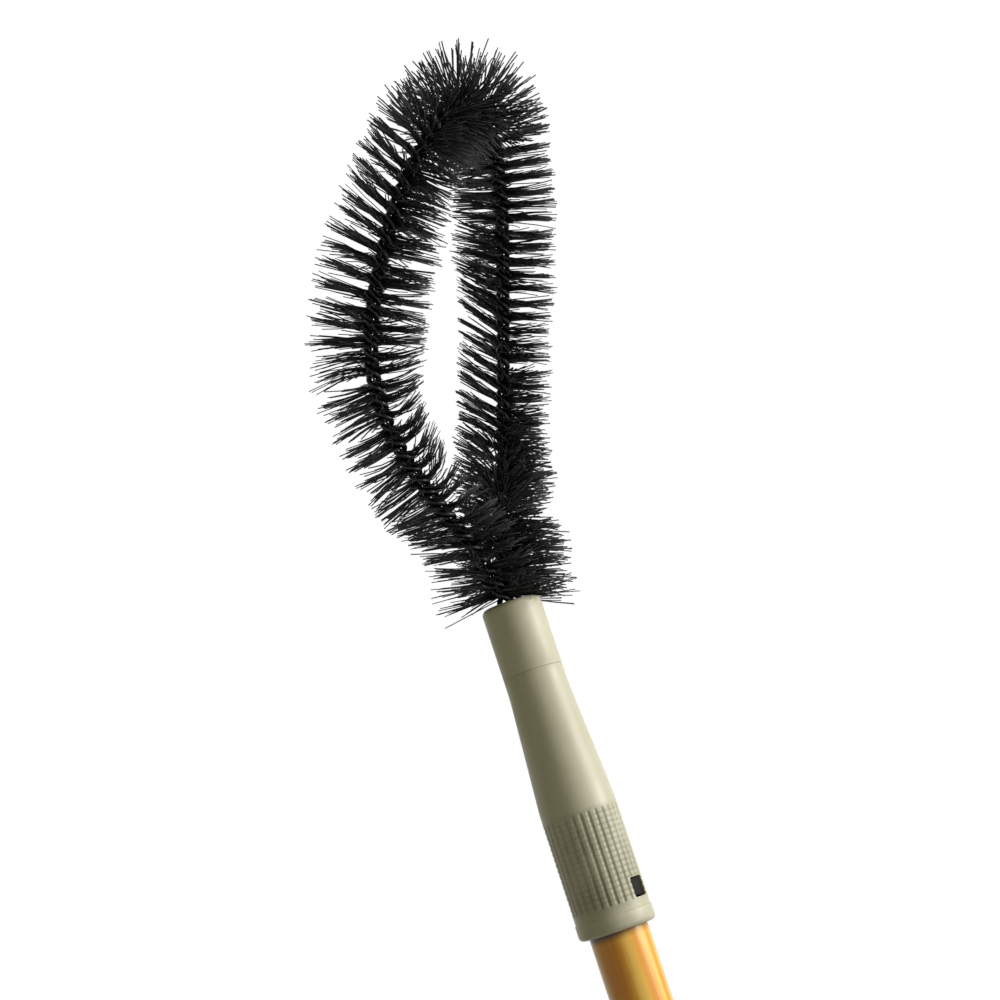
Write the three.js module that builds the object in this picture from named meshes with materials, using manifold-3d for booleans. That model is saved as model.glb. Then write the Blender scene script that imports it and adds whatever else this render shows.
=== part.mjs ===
// Duct brush: a loop of twisted-in-wire brush set in a moulded ferrule, on a push-fit wooden pole.
// Millimetres. +Z runs along the pole towards the brush, and the origin is the centre of the
// pole's butt end. The loop spreads along X and hooks over towards -Y.

import * as THREE from 'three';
import { mergeVertices } from 'three/addons/utils/BufferGeometryUtils.js';
import Module from 'manifold-3d';

const wasm = await Module();
wasm.setup();

// Wooden pole
const POLE_DIAMETER = 25;
const POLE_EXPOSED_LENGTH = 390;
const POLE_SEAT_DEPTH = 4;
const POLE_BUTT_ROUND = 4;
const TENON_DIAMETER = 10;

// Ferrule, measured up from its mouth
const RIM_WALL = 3.5;
const RIM_LENGTH = 6.8;
const GRIP_WALL = 3.1;
const GRIP_LENGTH = 46.6;
const CONE_LENGTH = 50;
const NECK_WALL = 3.1;
const NECK_LENGTH = 8.6;
const BORE_STRAIGHT_LENGTH = 10;
const CAP_SOCKET_LENGTH = 20;
const RIM_ROUND = 2;
const FLUTE_COUNT = 30;
const FLUTE_DEPTH = 0.35;
const FLUTE_RADIUS = 1.3;
const FLUTE_END_MARGIN = 3;
const WINDOW_WIDTH = 9;
const WINDOW_HEIGHT = 8.4;
const WINDOW_ABOVE_RIM = 3.8;

// Neck cap that carries the two stems of the loop
const CAP_LENGTH = 30;
const CAP_SPIGOT_LENGTH = 14;
const CAP_ROUND = 2.5;
const STEM_SPACING = 9;
const STEM_TAIL = 2;
const SLEEVE_LENGTH = 11;
const SLEEVE_WALL = 1.1;

// Moulded locking cone on the pole's tenon, with its pin, tongue and screw
const TIP_NOSE_LENGTH = 16;
const TIP_CHAMFER = 1.5;
const PIN_DIAMETER = 2.5;
const PIN_SHARE = 0.48;
const TONGUE_THICKNESS = 1.8;
const TONGUE_ROOT_LENGTH = 4;
const TONGUE_REACH = 38.6;
const BUTTON_RECESS = 1.2;
const PRESS_ANGLE = 5.2;
const SCREW_SHANK_DIAMETER = 2.4;
const SCREW_HEAD_DIAMETER = 4.4;
const SCREW_HEAD_RIM = 0.3;
const SCREW_LENGTH = 8.5;

// Twisted wires and bristles
const WIRE_DIAMETER = 2.4;
const TWIST_PITCH = 12.4;
const BRUSH_DIAMETER = 46;
const BRISTLE_WAIST = 1;
const BRISTLE_START = 2.5;
const BANDS_PER_SIDE = 6;

// Rows that the bristles stand in, two to a turn of the wires. The planes of all the rows meet in
// one far spot, and a row's plane gives way where the strand itself points to that spot.
const ROW_SPOT_LEFT = 861;
const ROW_SPOT_FRONT = 497;
const ROW_SPOT_HEIGHT = 428;
const ROW_SLOPE_LIMIT = 0.6;
const ROW_SLOPE_FADE = 0.3;
const ROW_ROOT_THICKNESS = 0.7;
const ROW_END_THICKNESS = 2;
const CORE_THICKNESS = 0.5;
const ROW_WANDER = 0.8;
const ROW_WANDER_TURN = 2.3;

// Each table holds [share of the way from the neck to the tip, value] pairs. The lean towards the
// tip is in degrees, and the reach is a share of the brush's radius.
const BRISTLE_SET = {
  leftBack: {
    lean: [[0, 0], [0.06, 26], [0.11, 38], [0.19, 26], [0.3, 0], [0.45, -8], [0.54, -3], [0.62, 20], [1, 0]],
    reach: [[0, 1.06], [0.16, 1], [0.52, 1.04], [0.76, 1.04], [1, 1]],
  },
  leftFront: {
    lean: [[0, -8], [0.14, -10], [0.22, 13], [0.36, 10], [0.46, 4], [0.54, -3], [0.6, 0]],
    reach: [[0, 1], [0.24, 0.85], [0.4, 0.9], [0.5, 1], [0.76, 1.04], [1, 1]],
  },
  rightBack: {
    lean: [[0, 0], [0.16, 10], [0.32, 30], [0.56, 34], [0.66, 15], [0.8, 0]],
    reach: [[0, 1], [0.76, 1.03], [1, 1]],
  },
  rightFront: {
    lean: [[0, -5], [0.08, -12], [0.18, -9], [0.2, 10], [0.25, 4], [0.32, 0]],
    reach: [[0, 1.1], [0.17, 1.12], [0.24, 0.98], [0.34, 0.88], [0.5, 0.88], [0.62, 1.02], [1, 1]],
  },
};

// Loop of the strand, measured up from the top of the neck cap
const LOOP_HALF_WIDTH = 53;
const WIDEST_HEIGHT = 111;
const WIDEST_BOW = 6;
const WIDEST_LEAN = 20;
const TIP_ABOVE_WIDEST = 90;
const TIP_BOW = 56;
const TIP_INNER_GAP = 6.5;
const NECK_HANDLE = 33;
const BELOW_WIDEST_HANDLE = 48;
const ABOVE_WIDEST_HANDLE = 38;

// Clearances between pieces
const FIT_GAP = 0.3;
const BAND_GAP = 0.5;
const POLE_CLEARANCE = 0.5;
const TAPER_CLEARANCE = 0.35;
const TONGUE_CLEARANCE = 0.55;
const SLEEVE_CLEARANCE = 0.6;
const TIP_HEADROOM = 10.4;
const BUTTON_GAP = 0.6;

// Fineness of the round surfaces
const ROUND_SIDES = 36;
const SMALL_SIDES = 12;
const ARC_STEPS = 3;
const FLUTE_SIDES = 6;
const FLUTE_END_STEPS = 1;
const WIRE_SIDES = 5;
const WIRE_STEPS_PER_TURN = 6;
const CORE_STEPS_PER_TURN = 4;
const CORE_SIDES = 4;
const ROW_SIDES = 10;
const ROW_HOLE_SIDES = 6;

// Heights that follow from the sizes above
const mouthZ = POLE_EXPOSED_LENGTH;
const shoulderZ = mouthZ + POLE_SEAT_DEPTH;
const rimTopZ = mouthZ + RIM_LENGTH;
const gripTopZ = rimTopZ + GRIP_LENGTH;
const coneTopZ = gripTopZ + CONE_LENGTH;
const ferruleTopZ = coneTopZ + NECK_LENGTH;
const boreStraightTopZ = mouthZ + BORE_STRAIGHT_LENGTH;
const boreTaperTopZ = ferruleTopZ - CAP_SOCKET_LENGTH;
const capSeatZ = ferruleTopZ + FIT_GAP;
const capTopZ = capSeatZ + CAP_LENGTH;
const spigotFootZ = ferruleTopZ - CAP_SPIGOT_LENGTH;
const sleeveFootZ = spigotFootZ - FIT_GAP - SLEEVE_LENGTH;
const stemFootZ = sleeveFootZ - STEM_TAIL;
const tipFootZ = shoulderZ + FIT_GAP;
const tipTopZ = stemFootZ - TIP_HEADROOM;
const tenonSocketTopZ = tipTopZ - TIP_NOSE_LENGTH;
const pinZ = THREE.MathUtils.lerp(shoulderZ, tenonSocketTopZ, PIN_SHARE);
const windowFootZ = rimTopZ + WINDOW_ABOVE_RIM;
const windowTopZ = windowFootZ + WINDOW_HEIGHT;
const buttonFootZ = windowFootZ + BUTTON_GAP;
const buttonTopZ = windowTopZ - BUTTON_GAP;
const tongueHingeZ = buttonFootZ + TONGUE_REACH;
const tongueTopZ = tongueHingeZ + TONGUE_ROOT_LENGTH;

// Radii and widths that follow from the sizes above
const brushRadius = BRUSH_DIAMETER / 2;
const rowStep = TWIST_PITCH / 2;
const wireOffset = BRISTLE_WAIST / 2 + FIT_GAP + WIRE_DIAMETER / 2;
const stemRadius = wireOffset + WIRE_DIAMETER / 2;
const stemHoleRadius = stemRadius + FIT_GAP;
const stemX = STEM_SPACING / 2;
const rootThickness = BRISTLE_WAIST - FIT_GAP;
const rowHoleRadius = stemHoleRadius / Math.cos(Math.PI / ROW_HOLE_SIDES);
const poleRadius = POLE_DIAMETER / 2;
const tenonRadius = TENON_DIAMETER / 2;
const boreRadius = poleRadius + POLE_CLEARANCE;
const boreTopRadius = stemX + stemHoleRadius + SLEEVE_WALL + SLEEVE_CLEARANCE;
const rimRadius = boreRadius + RIM_WALL;
const gripRadius = boreRadius + GRIP_WALL;
const neckRadius = boreTopRadius + NECK_WALL;
const tongueWidth = WINDOW_WIDTH - 2 * BUTTON_GAP;

const material = {
  varnishedWood: new THREE.MeshStandardMaterial({ color: 0xbd8a3c, roughness: 0.35, metalness: 0 }),
  beigePlastic: new THREE.MeshStandardMaterial({ color: 0xa8a283, roughness: 0.45, metalness: 0 }),
  blackPlastic: new THREE.MeshStandardMaterial({ color: 0x2b2a26, roughness: 0.5, metalness: 0 }),
  steel: new THREE.MeshStandardMaterial({ color: 0xa9abad, roughness: 0.35, metalness: 1 }),
  darkWire: new THREE.MeshStandardMaterial({ color: 0x3c3d3f, roughness: 0.5, metalness: 1 }),
  bristle: new THREE.MeshStandardMaterial({ color: 0x17181a, roughness: 0.55, metalness: 0 }),
};

const brush = new THREE.Group();

function place(name, geometry, finish) {
  const mesh = new THREE.Mesh(geometry, finish);
  mesh.name = name;
  brush.add(mesh);
}

// Solids for cutting: closed geometry in, closed geometry out

function toSolid(geometry) {
  const bare = geometry.clone();
  bare.deleteAttribute('normal');
  bare.deleteAttribute('uv');
  const merged = mergeVertices(bare);
  const corners = merged.index.array;
  const kept = [];
  for (let i = 0; i < corners.length; i += 3) {
    const [a, b, c] = corners.slice(i, i + 3);
    if (a !== b && b !== c && c !== a) kept.push(a, b, c);
  }
  const vertProperties = new Float32Array(merged.attributes.position.array);
  return new wasm.Manifold(new wasm.Mesh({ numProp: 3, vertProperties, triVerts: new Uint32Array(kept) }));
}

function toGeometry(solid) {
  const mesh = solid.getMesh();
  const geometry = new THREE.BufferGeometry();
  geometry.setAttribute('position', new THREE.BufferAttribute(mesh.vertProperties, mesh.numProp));
  geometry.setIndex(new THREE.BufferAttribute(mesh.triVerts, 1));
  return geometry;
}

function cutAway(geometry, cutters) {
  return toGeometry(cutters.reduce((solid, cutter) => solid.subtract(toSolid(cutter)), toSolid(geometry)));
}

// Round bodies about the pole's axis, from [radius, height] points that go up the outside

function turned(points) {
  const profile = points.map(([radius, height]) => new THREE.Vector2(radius, height));
  return new THREE.LatheGeometry(profile, ROUND_SIDES).rotateX(Math.PI / 2);
}

function arcPoints(centreRadius, centreHeight, round, fromDegrees, toDegrees) {
  return Array.from({ length: ARC_STEPS + 1 }, (_, step) => {
    const angle = THREE.MathUtils.degToRad(fromDegrees + ((toDegrees - fromDegrees) * step) / ARC_STEPS);
    return [centreRadius + round * Math.cos(angle), centreHeight + round * Math.sin(angle)];
  });
}

function regularCorners(radius, sides, firstCorner = 0) {
  return Array.from({ length: sides }, (_, corner) => {
    const angle = ((corner + firstCorner) / sides) * 2 * Math.PI;
    return new THREE.Vector2(radius * Math.cos(angle), radius * Math.sin(angle));
  });
}

// Round hole or rod along X, or along -Y from the pole's axis

function rodAlongX(diameter, length, height) {
  const rod = new THREE.CylinderGeometry(diameter / 2, diameter / 2, length, SMALL_SIDES);
  return rod.rotateZ(Math.PI / 2).translate(0, 0, height);
}

function facingFront(geometry, height) {
  return geometry.rotateZ(Math.PI).translate(0, 0, height);
}

// Radius of the ferrule's bore at a height: straight at the mouth, then a long taper

function boreRadiusAt(height) {
  const taperLength = boreTaperTopZ - boreStraightTopZ;
  const share = THREE.MathUtils.clamp((height - boreStraightTopZ) / taperLength, 0, 1);
  return THREE.MathUtils.lerp(boreRadius, boreTopRadius, share);
}

// Block along X from an outline of [distance in front of the axis, height] points

function frontBlock(points, width) {
  const outline = new THREE.Shape(points.map(([front, height]) => new THREE.Vector2(-front, height)));
  const block = new THREE.ExtrudeGeometry(outline, { depth: width, bevelEnabled: false });
  block.translate(0, 0, -width / 2);
  const toFront = new THREE.Matrix4().makeBasis(
    new THREE.Vector3(0, 1, 0),
    new THREE.Vector3(0, 0, 1),
    new THREE.Vector3(1, 0, 0),
  );
  return block.applyMatrix4(toFront);
}

// Tongue: a flat arm along the cone's front, with the button that stands in the ferrule's window.
// Its long edges keep the clearance to the round bore.

function tongueOuterAt(height) {
  const edgeRadius = boreRadiusAt(height) - TONGUE_CLEARANCE;
  return Math.sqrt(edgeRadius ** 2 - (tongueWidth / 2) ** 2);
}

function tongueInnerAt(height) {
  return tongueOuterAt(height) - TONGUE_THICKNESS;
}

const pressSlope = Math.tan(THREE.MathUtils.degToRad(PRESS_ANGLE));
const buttonFront = gripRadius - BUTTON_RECESS;
const screwHeadFront = tongueOuterAt(tongueHingeZ) - TONGUE_CLEARANCE / 2;
const screwRimFront = screwHeadFront - SCREW_HEAD_RIM;
const screwNeckFront = screwRimFront - (SCREW_HEAD_DIAMETER - SCREW_SHANK_DIAMETER) / 2;

function screwShape(clearance, headRoom) {
  const shank = SCREW_SHANK_DIAMETER / 2 + clearance;
  const head = SCREW_HEAD_DIAMETER / 2 + clearance;
  const point = screwHeadFront - SCREW_LENGTH - clearance;
  const profile = [
    new THREE.Vector2(0, point),
    new THREE.Vector2(shank, point),
    new THREE.Vector2(shank, screwNeckFront),
    new THREE.Vector2(head, screwRimFront),
    new THREE.Vector2(head, screwHeadFront + headRoom),
    new THREE.Vector2(0, screwHeadFront + headRoom),
  ];
  return facingFront(new THREE.LatheGeometry(profile, SMALL_SIDES), tongueHingeZ);
}

function screwHole() {
  return screwShape(FIT_GAP, TONGUE_CLEARANCE);
}

function lockTongue() {
  const outline = [
    [tongueInnerAt(buttonFootZ), buttonFootZ],
    [buttonFront, buttonFootZ],
    [buttonFront, buttonTopZ],
    [tongueOuterAt(buttonTopZ), buttonTopZ],
    [tongueOuterAt(tongueTopZ), tongueTopZ],
    [tongueInnerAt(tongueTopZ), tongueTopZ],
    [tongueInnerAt(buttonTopZ), buttonTopZ],
  ];
  return cutAway(frontBlock(outline, tongueWidth), [screwHole()]);
}

// Groove that the tongue lies in, deep enough at the button for its full press

function tongueGroove() {
  const pressDepth = TONGUE_REACH * pressSlope;
  const footZ = buttonFootZ - BUTTON_GAP;
  const topZ = tongueTopZ + FIT_GAP;
  const outline = [
    [tongueInnerAt(buttonFootZ) - pressDepth - FIT_GAP, footZ],
    [rimRadius, footZ],
    [rimRadius, topZ],
    [tongueInnerAt(topZ) - FIT_GAP, topZ],
  ];
  return frontBlock(outline, tongueWidth + 2 * FIT_GAP);
}

function woodenPole() {
  const tenonTopZ = tenonSocketTopZ - FIT_GAP;
  const body = turned([
    [0, 0],
    ...arcPoints(poleRadius - POLE_BUTT_ROUND, POLE_BUTT_ROUND, POLE_BUTT_ROUND, -90, 0),
    [poleRadius, shoulderZ],
    [tenonRadius, shoulderZ],
    [tenonRadius, tenonTopZ],
    [0, tenonTopZ],
  ]);
  return cutAway(body, [rodAlongX(PIN_DIAMETER + 2 * FIT_GAP, POLE_DIAMETER, pinZ), screwHole()]);
}

function coneOuterAt(height) {
  return boreRadiusAt(height) - TAPER_CLEARANCE;
}

function poleTip() {
  const socketRadius = tenonRadius + FIT_GAP;
  const body = turned([
    [socketRadius, tipFootZ],
    [coneOuterAt(tipFootZ), tipFootZ],
    [coneOuterAt(boreStraightTopZ), boreStraightTopZ],
    [coneOuterAt(tipTopZ - TIP_CHAMFER), tipTopZ - TIP_CHAMFER],
    [coneOuterAt(tipTopZ) - TIP_CHAMFER, tipTopZ],
    [0, tipTopZ],
    [0, tenonSocketTopZ],
    [socketRadius, tenonSocketTopZ],
    [socketRadius, tipFootZ],
  ]);
  return cutAway(body, [
    tongueGroove(),
    rodAlongX(PIN_DIAMETER + 2 * FIT_GAP, 2 * rimRadius, pinZ),
    screwHole(),
  ]);
}

function flutes() {
  const footZ = rimTopZ + FLUTE_END_MARGIN;
  const topZ = gripTopZ - FLUTE_END_MARGIN;
  const straight = topZ - footZ - 2 * FLUTE_RADIUS;
  const centreRadius = gripRadius + FLUTE_RADIUS - FLUTE_DEPTH;
  return Array.from({ length: FLUTE_COUNT }, (_, index) => {
    const flute = new THREE.CapsuleGeometry(FLUTE_RADIUS, straight, FLUTE_END_STEPS, FLUTE_SIDES);
    flute.rotateX(Math.PI / 2).translate(centreRadius, 0, (footZ + topZ) / 2);
    return flute.rotateZ(((index + 0.5) / FLUTE_COUNT) * 2 * Math.PI);
  });
}

function ferrule() {
  const body = turned([
    [boreRadius, mouthZ],
    ...arcPoints(rimRadius - RIM_ROUND, mouthZ + RIM_ROUND, RIM_ROUND, -90, 0),
    [rimRadius, rimTopZ],
    [gripRadius, rimTopZ],
    [gripRadius, gripTopZ],
    [neckRadius, coneTopZ],
    [neckRadius, ferruleTopZ],
    [boreTopRadius, ferruleTopZ],
    [boreTopRadius, boreTaperTopZ],
    [boreRadius, boreStraightTopZ],
    [boreRadius, mouthZ],
  ]);
  const window = frontBlock(
    [
      [tenonRadius, windowFootZ],
      [2 * rimRadius, windowFootZ],
      [2 * rimRadius, windowTopZ],
      [tenonRadius, windowTopZ],
    ],
    WINDOW_WIDTH,
  );
  return cutAway(body, [window, ...flutes()]);
}

function stemHoles() {
  const length = capTopZ - spigotFootZ + 2 * FIT_GAP;
  return [-stemX, stemX].map((x) => {
    const hole = new THREE.CylinderGeometry(stemHoleRadius, stemHoleRadius, length, SMALL_SIDES);
    return hole.rotateX(Math.PI / 2).translate(x, 0, (capTopZ + spigotFootZ) / 2);
  });
}

function neckCap() {
  const spigotRadius = boreTopRadius - FIT_GAP;
  const body = turned([
    [0, spigotFootZ],
    [spigotRadius, spigotFootZ],
    [spigotRadius, capSeatZ],
    [neckRadius, capSeatZ],
    ...arcPoints(neckRadius - CAP_ROUND, capTopZ - CAP_ROUND, CAP_ROUND, 0, 90),
    [0, capTopZ],
  ]);
  return cutAway(body, stemHoles());
}

// Oval sleeve crimped round both stems below the cap, so that the loop can't pull out

function ovalPath(Kind, radius) {
  const oval = new Kind();
  oval.moveTo(stemX, -radius);
  oval.absarc(stemX, 0, radius, -Math.PI / 2, Math.PI / 2, false);
  oval.absarc(-stemX, 0, radius, Math.PI / 2, (3 * Math.PI) / 2, false);
  return oval;
}

function crimpSleeve() {
  const section = ovalPath(THREE.Shape, stemHoleRadius + SLEEVE_WALL);
  section.holes.push(ovalPath(THREE.Path, stemHoleRadius));
  const options = { depth: SLEEVE_LENGTH, bevelEnabled: false, curveSegments: SMALL_SIDES / 2 };
  return new THREE.ExtrudeGeometry(section, options).translate(0, 0, sleeveFootZ);
}

// Strand: the line that both wires twist round, up one stem, over the loop and down the other

function strandPath() {
  const lean = THREE.MathUtils.degToRad(WIDEST_LEAN);
  const rise = new THREE.Vector3(0, -Math.sin(lean), Math.cos(lean));
  const neck = new THREE.Vector3(stemX, 0, capTopZ);
  const foot = new THREE.Vector3(stemX, 0, stemFootZ);
  const widest = new THREE.Vector3(LOOP_HALF_WIDTH, -WIDEST_BOW, capTopZ + WIDEST_HEIGHT);
  const tip = new THREE.Vector3(0, -TIP_BOW, widest.z + TIP_ABOVE_WIDEST);
  const aboveNeck = neck.clone().setZ(capTopZ + NECK_HANDLE);
  const belowWidest = widest.clone().addScaledVector(rise, -BELOW_WIDEST_HANDLE);
  const aboveWidest = widest.clone().addScaledVector(rise, ABOVE_WIDEST_HANDLE);
  const tipRadius = brushRadius + TIP_INNER_GAP;
  const drop = Math.hypot(tip.y - aboveWidest.y, tip.z - aboveWidest.z);
  const besideTip = tip.clone().setX(Math.sqrt((2 / 3) * drop * tipRadius));
  const mirrored = (point) => new THREE.Vector3(-point.x, point.y, point.z);
  const left = [foot, neck, aboveNeck, belowWidest, widest, aboveWidest, besideTip].map(mirrored);
  const path = new THREE.CurvePath();
  path.add(new THREE.LineCurve3(left[0], left[1]));
  path.add(new THREE.CubicBezierCurve3(left[1], left[2], left[3], left[4]));
  path.add(new THREE.CubicBezierCurve3(left[4], left[5], left[6], tip));
  path.add(new THREE.CubicBezierCurve3(tip, besideTip, aboveWidest, widest));
  path.add(new THREE.CubicBezierCurve3(widest, belowWidest, aboveNeck, neck));
  path.add(new THREE.LineCurve3(neck, foot));
  return path;
}

const strand = strandPath();
const strandLength = strand.getLength();
const stemLength = capTopZ - stemFootZ;
const bristleFoot = stemLength + BRISTLE_START;
const bristleLength = strandLength - 2 * bristleFoot;
const bandCount = 2 * BANDS_PER_SIDE;
const rowSpot = new THREE.Vector3(-ROW_SPOT_LEFT, -ROW_SPOT_FRONT, ROW_SPOT_HEIGHT);

function strandShare(along) {
  return THREE.MathUtils.clamp(along / strandLength, 0, 1);
}

function strandPoint(along) {
  return strand.getPoint(strandShare(along));
}

function strandForward(along) {
  return strand.getTangent(strandShare(along));
}

// Frame on the strand at a distance along it, turned with the twist of the wires

function strandFrame(along) {
  const forward = strandForward(along);
  const across = new THREE.Vector3(0, 1, 0).addScaledVector(forward, -forward.y).normalize();
  const side = new THREE.Vector3().crossVectors(forward, across);
  const frame = new THREE.Matrix4().makeBasis(across, side, forward).setPosition(strandPoint(along));
  return frame.multiply(new THREE.Matrix4().makeRotationZ((-along / TWIST_PITCH) * 2 * Math.PI));
}

function sweptOnStrand(section, from, to, stepsPerTurn) {
  const steps = Math.ceil(((to - from) / TWIST_PITCH) * stepsPerTurn);
  const outline = new THREE.Shape(section);
  const geometry = new THREE.ExtrudeGeometry(outline, { depth: to - from, steps, bevelEnabled: false });
  const position = geometry.getAttribute('position');
  const vertex = new THREE.Vector3();
  for (let index = 0; index < position.count; index += 1) {
    vertex.fromBufferAttribute(position, index);
    const frame = strandFrame(from + vertex.z);
    vertex.setZ(0).applyMatrix4(frame);
    position.setXYZ(index, vertex.x, vertex.y, vertex.z);
  }
  return geometry;
}

// A wire's section across the strand is wider than the wire is thick, because the wire lies
// at a slant to the strand

const wireSlant = Math.atan((2 * Math.PI * wireOffset) / TWIST_PITCH);
const wireHalfBreadth = WIRE_DIAMETER / 2 / Math.cos(wireSlant);

function coreWire(side) {
  const section = regularCorners(WIRE_DIAMETER / 2, WIRE_SIDES).map(({ x, y }) => {
    const breadth = (y * wireHalfBreadth) / (WIRE_DIAMETER / 2);
    return new THREE.Vector2(-side * breadth, side * (wireOffset + x));
  });
  return sweptOnStrand(section, 0, strandLength, WIRE_STEPS_PER_TURN);
}

// Place of the row that is nearest to a distance along the strand. A row stands where the gap
// between the wires lies square to the direction of the row spot.

function rowPlaceNear(along) {
  const frame = strandFrame(along);
  const [gapway, side] = [0, 1].map((axis) => new THREE.Vector3().setFromMatrixColumn(frame, axis));
  const toSpot = rowSpot.clone().sub(strandPoint(along)).normalize();
  const turn = Math.atan2(-toSpot.dot(side), toSpot.dot(gapway)) / Math.PI;
  return along + (THREE.MathUtils.euclideanModulo(turn, 1) - 0.5) * rowStep;
}

function rowPlaces(from, to) {
  const first = from - BAND_GAP / 2;
  const last = to + BAND_GAP / 2;
  const places = [];
  for (let along = rowPlaceNear(first); along < last; along = rowPlaceNear(along + rowStep)) {
    if (along >= first) places.push(THREE.MathUtils.clamp(along, from, to));
  }
  return places;
}

function tableValue(table, share) {
  const next = table.findIndex(([end]) => end >= share);
  if (next <= 0) return table.at(next)[1];
  const [from, low] = table[next - 1];
  const [to, high] = table[next];
  return THREE.MathUtils.mapLinear(share, from, to, low, high);
}

// Flat blank of a row: a ring of unit thickness, with a hole that the wires pass through. Two flat
// sides of the hole face the bar of bristle roots.

function rowBlank() {
  const halfSide = 0.5;
  const ring = new THREE.Shape(regularCorners(brushRadius, ROW_SIDES));
  ring.holes.push(new THREE.Path(regularCorners(rowHoleRadius, ROW_HOLE_SIDES, halfSide)));
  return new THREE.ExtrudeGeometry(ring, { depth: 1, bevelEnabled: false }).translate(0, 0, -0.5);
}

// A row in place: a ring, and the bar of bristle roots that holds it through the gap between the
// wires. The middle is square to the strand, and the rim leans, reaches and wanders as combing and
// use have left the bristles.

function bristleRow(along) {
  const point = strandPoint(along);
  const forward = strandForward(along);
  const toSpot = rowSpot.clone().sub(point).normalize();
  const gapway = new THREE.Vector3().crossVectors(forward, toSpot).normalize();
  const side = new THREE.Vector3().crossVectors(forward, gapway);
  const rising = along < strandLength / 2;
  const fromNeck = Math.min(along, strandLength - along) - stemLength;
  const share = fromNeck / (strandLength / 2 - stemLength);
  const slope = forward.dot(toSpot);
  const square = forward.clone().addScaledVector(toSpot, -slope).normalize();
  const hold = THREE.MathUtils.clamp((ROW_SLOPE_LIMIT - Math.abs(slope)) / ROW_SLOPE_FADE, 0, 1);
  const wander = hold * ROW_WANDER * Math.sin((along / rowStep) * ROW_WANDER_TURN);

  function rootPoint(out, radius, height) {
    return point.clone().addScaledVector(out, radius).addScaledVector(forward, height * ROW_ROOT_THICKNESS);
  }

  function rimPoint(out, height) {
    const aside = out.dot(gapway);
    const facing = aside * gapway.y > 0 ? 'Back' : 'Front';
    const set = BRISTLE_SET[(rising ? 'left' : 'right') + facing];
    const lean = Math.tan(THREE.MathUtils.degToRad(tableValue(set.lean, share))) * Math.abs(aside);
    const level = out.clone().addScaledVector(square, -hold * out.dot(square)).normalize();
    const way = level.addScaledVector(forward, rising ? lean : -lean).normalize();
    const rim = point.clone().addScaledVector(way, brushRadius * tableValue(set.reach, share));
    return rim.addScaledVector(forward, height * ROW_END_THICKNESS + wander);
  }

  const row = rowBlank();
  const position = row.getAttribute('position');
  const vertex = new THREE.Vector3();
  for (let index = 0; index < position.count; index += 1) {
    vertex.fromBufferAttribute(position, index);
    const radius = Math.hypot(vertex.x, vertex.y);
    const out = gapway.clone().multiplyScalar(vertex.x / radius).addScaledVector(side, vertex.y / radius);
    const { x, y, z } = radius > 2 * rowHoleRadius ? rimPoint(out, vertex.z) : rootPoint(out, radius, vertex.z);
    position.setXYZ(index, x, y, z);
  }
  const bar = new THREE.BoxGeometry(2 * stemHoleRadius + rootThickness, rootThickness, CORE_THICKNESS);
  bar.applyMatrix4(new THREE.Matrix4().makeBasis(gapway, side, forward).setPosition(point));
  return toSolid(row).add(toSolid(bar));
}

// A band of bristles is a stack of rows on the line of their roots. Near the neck the two sides of
// the loop meet, and each band ends at the middle plane.

function bristleBand(index) {
  const pitch = bristleLength / bandCount;
  const from = bristleFoot + index * pitch + BAND_GAP / 2;
  const to = bristleFoot + (index + 1) * pitch - BAND_GAP / 2;
  const core = sweptOnStrand(regularCorners(CORE_THICKNESS / 2, CORE_SIDES), from, to, CORE_STEPS_PER_TURN);
  const rows = rowPlaces(from, to).map(bristleRow);
  const band = rows.reduce((solid, row) => solid.add(row), toSolid(core));
  const side = index < BANDS_PER_SIDE ? -1 : 1;
  const reach = 2 * strandLength;
  const half = new THREE.BoxGeometry(reach, reach, reach);
  half.translate((side * (reach + BAND_GAP)) / 2, 0, capTopZ);
  return toGeometry(band.intersect(toSolid(half)));
}

function tipPin() {
  return rodAlongX(PIN_DIAMETER, 2 * (coneOuterAt(pinZ) - FIT_GAP), pinZ);
}

place('wooden_pole', woodenPole(), material.varnishedWood);
place('pole_tip', poleTip(), material.blackPlastic);
place('tip_pin', tipPin(), material.steel);
place('lock_tongue', lockTongue(), material.blackPlastic);
place('tongue_screw', screwShape(0, 0), material.steel);
place('ferrule', ferrule(), material.beigePlastic);
place('neck_cap', neckCap(), material.beigePlastic);
place('crimp_sleeve', crimpSleeve(), material.steel);
place('core_wire_a', coreWire(1), material.darkWire);
place('core_wire_b', coreWire(-1), material.darkWire);
for (let index = 0; index < bandCount; index += 1) {
  const number = String(index + 1).padStart(2, '0');
  place(`bristle_band_${number}`, bristleBand(index), material.bristle);
}

export default brush;
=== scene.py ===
"""Duct brush: a loop of twisted-in-wire brush in a moulded ferrule, on a push-fit wooden pole.

Metres. +Z runs along the pole towards the brush, and the loop hooks over towards -Y.
"""

import bisect
import logging
import math
import random
from dataclasses import dataclass, field
from enum import Enum
from typing import Iterable, Mapping, Sequence

import bmesh
import bpy
from bmesh.types import BMEdge, BMesh, BMFace, BMLayerItem, BMVert
from bpy.types import Material, Mesh, Node, NodeSocket, NodeTree, Object
from mathutils import Matrix, Vector, geometry, noise


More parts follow.
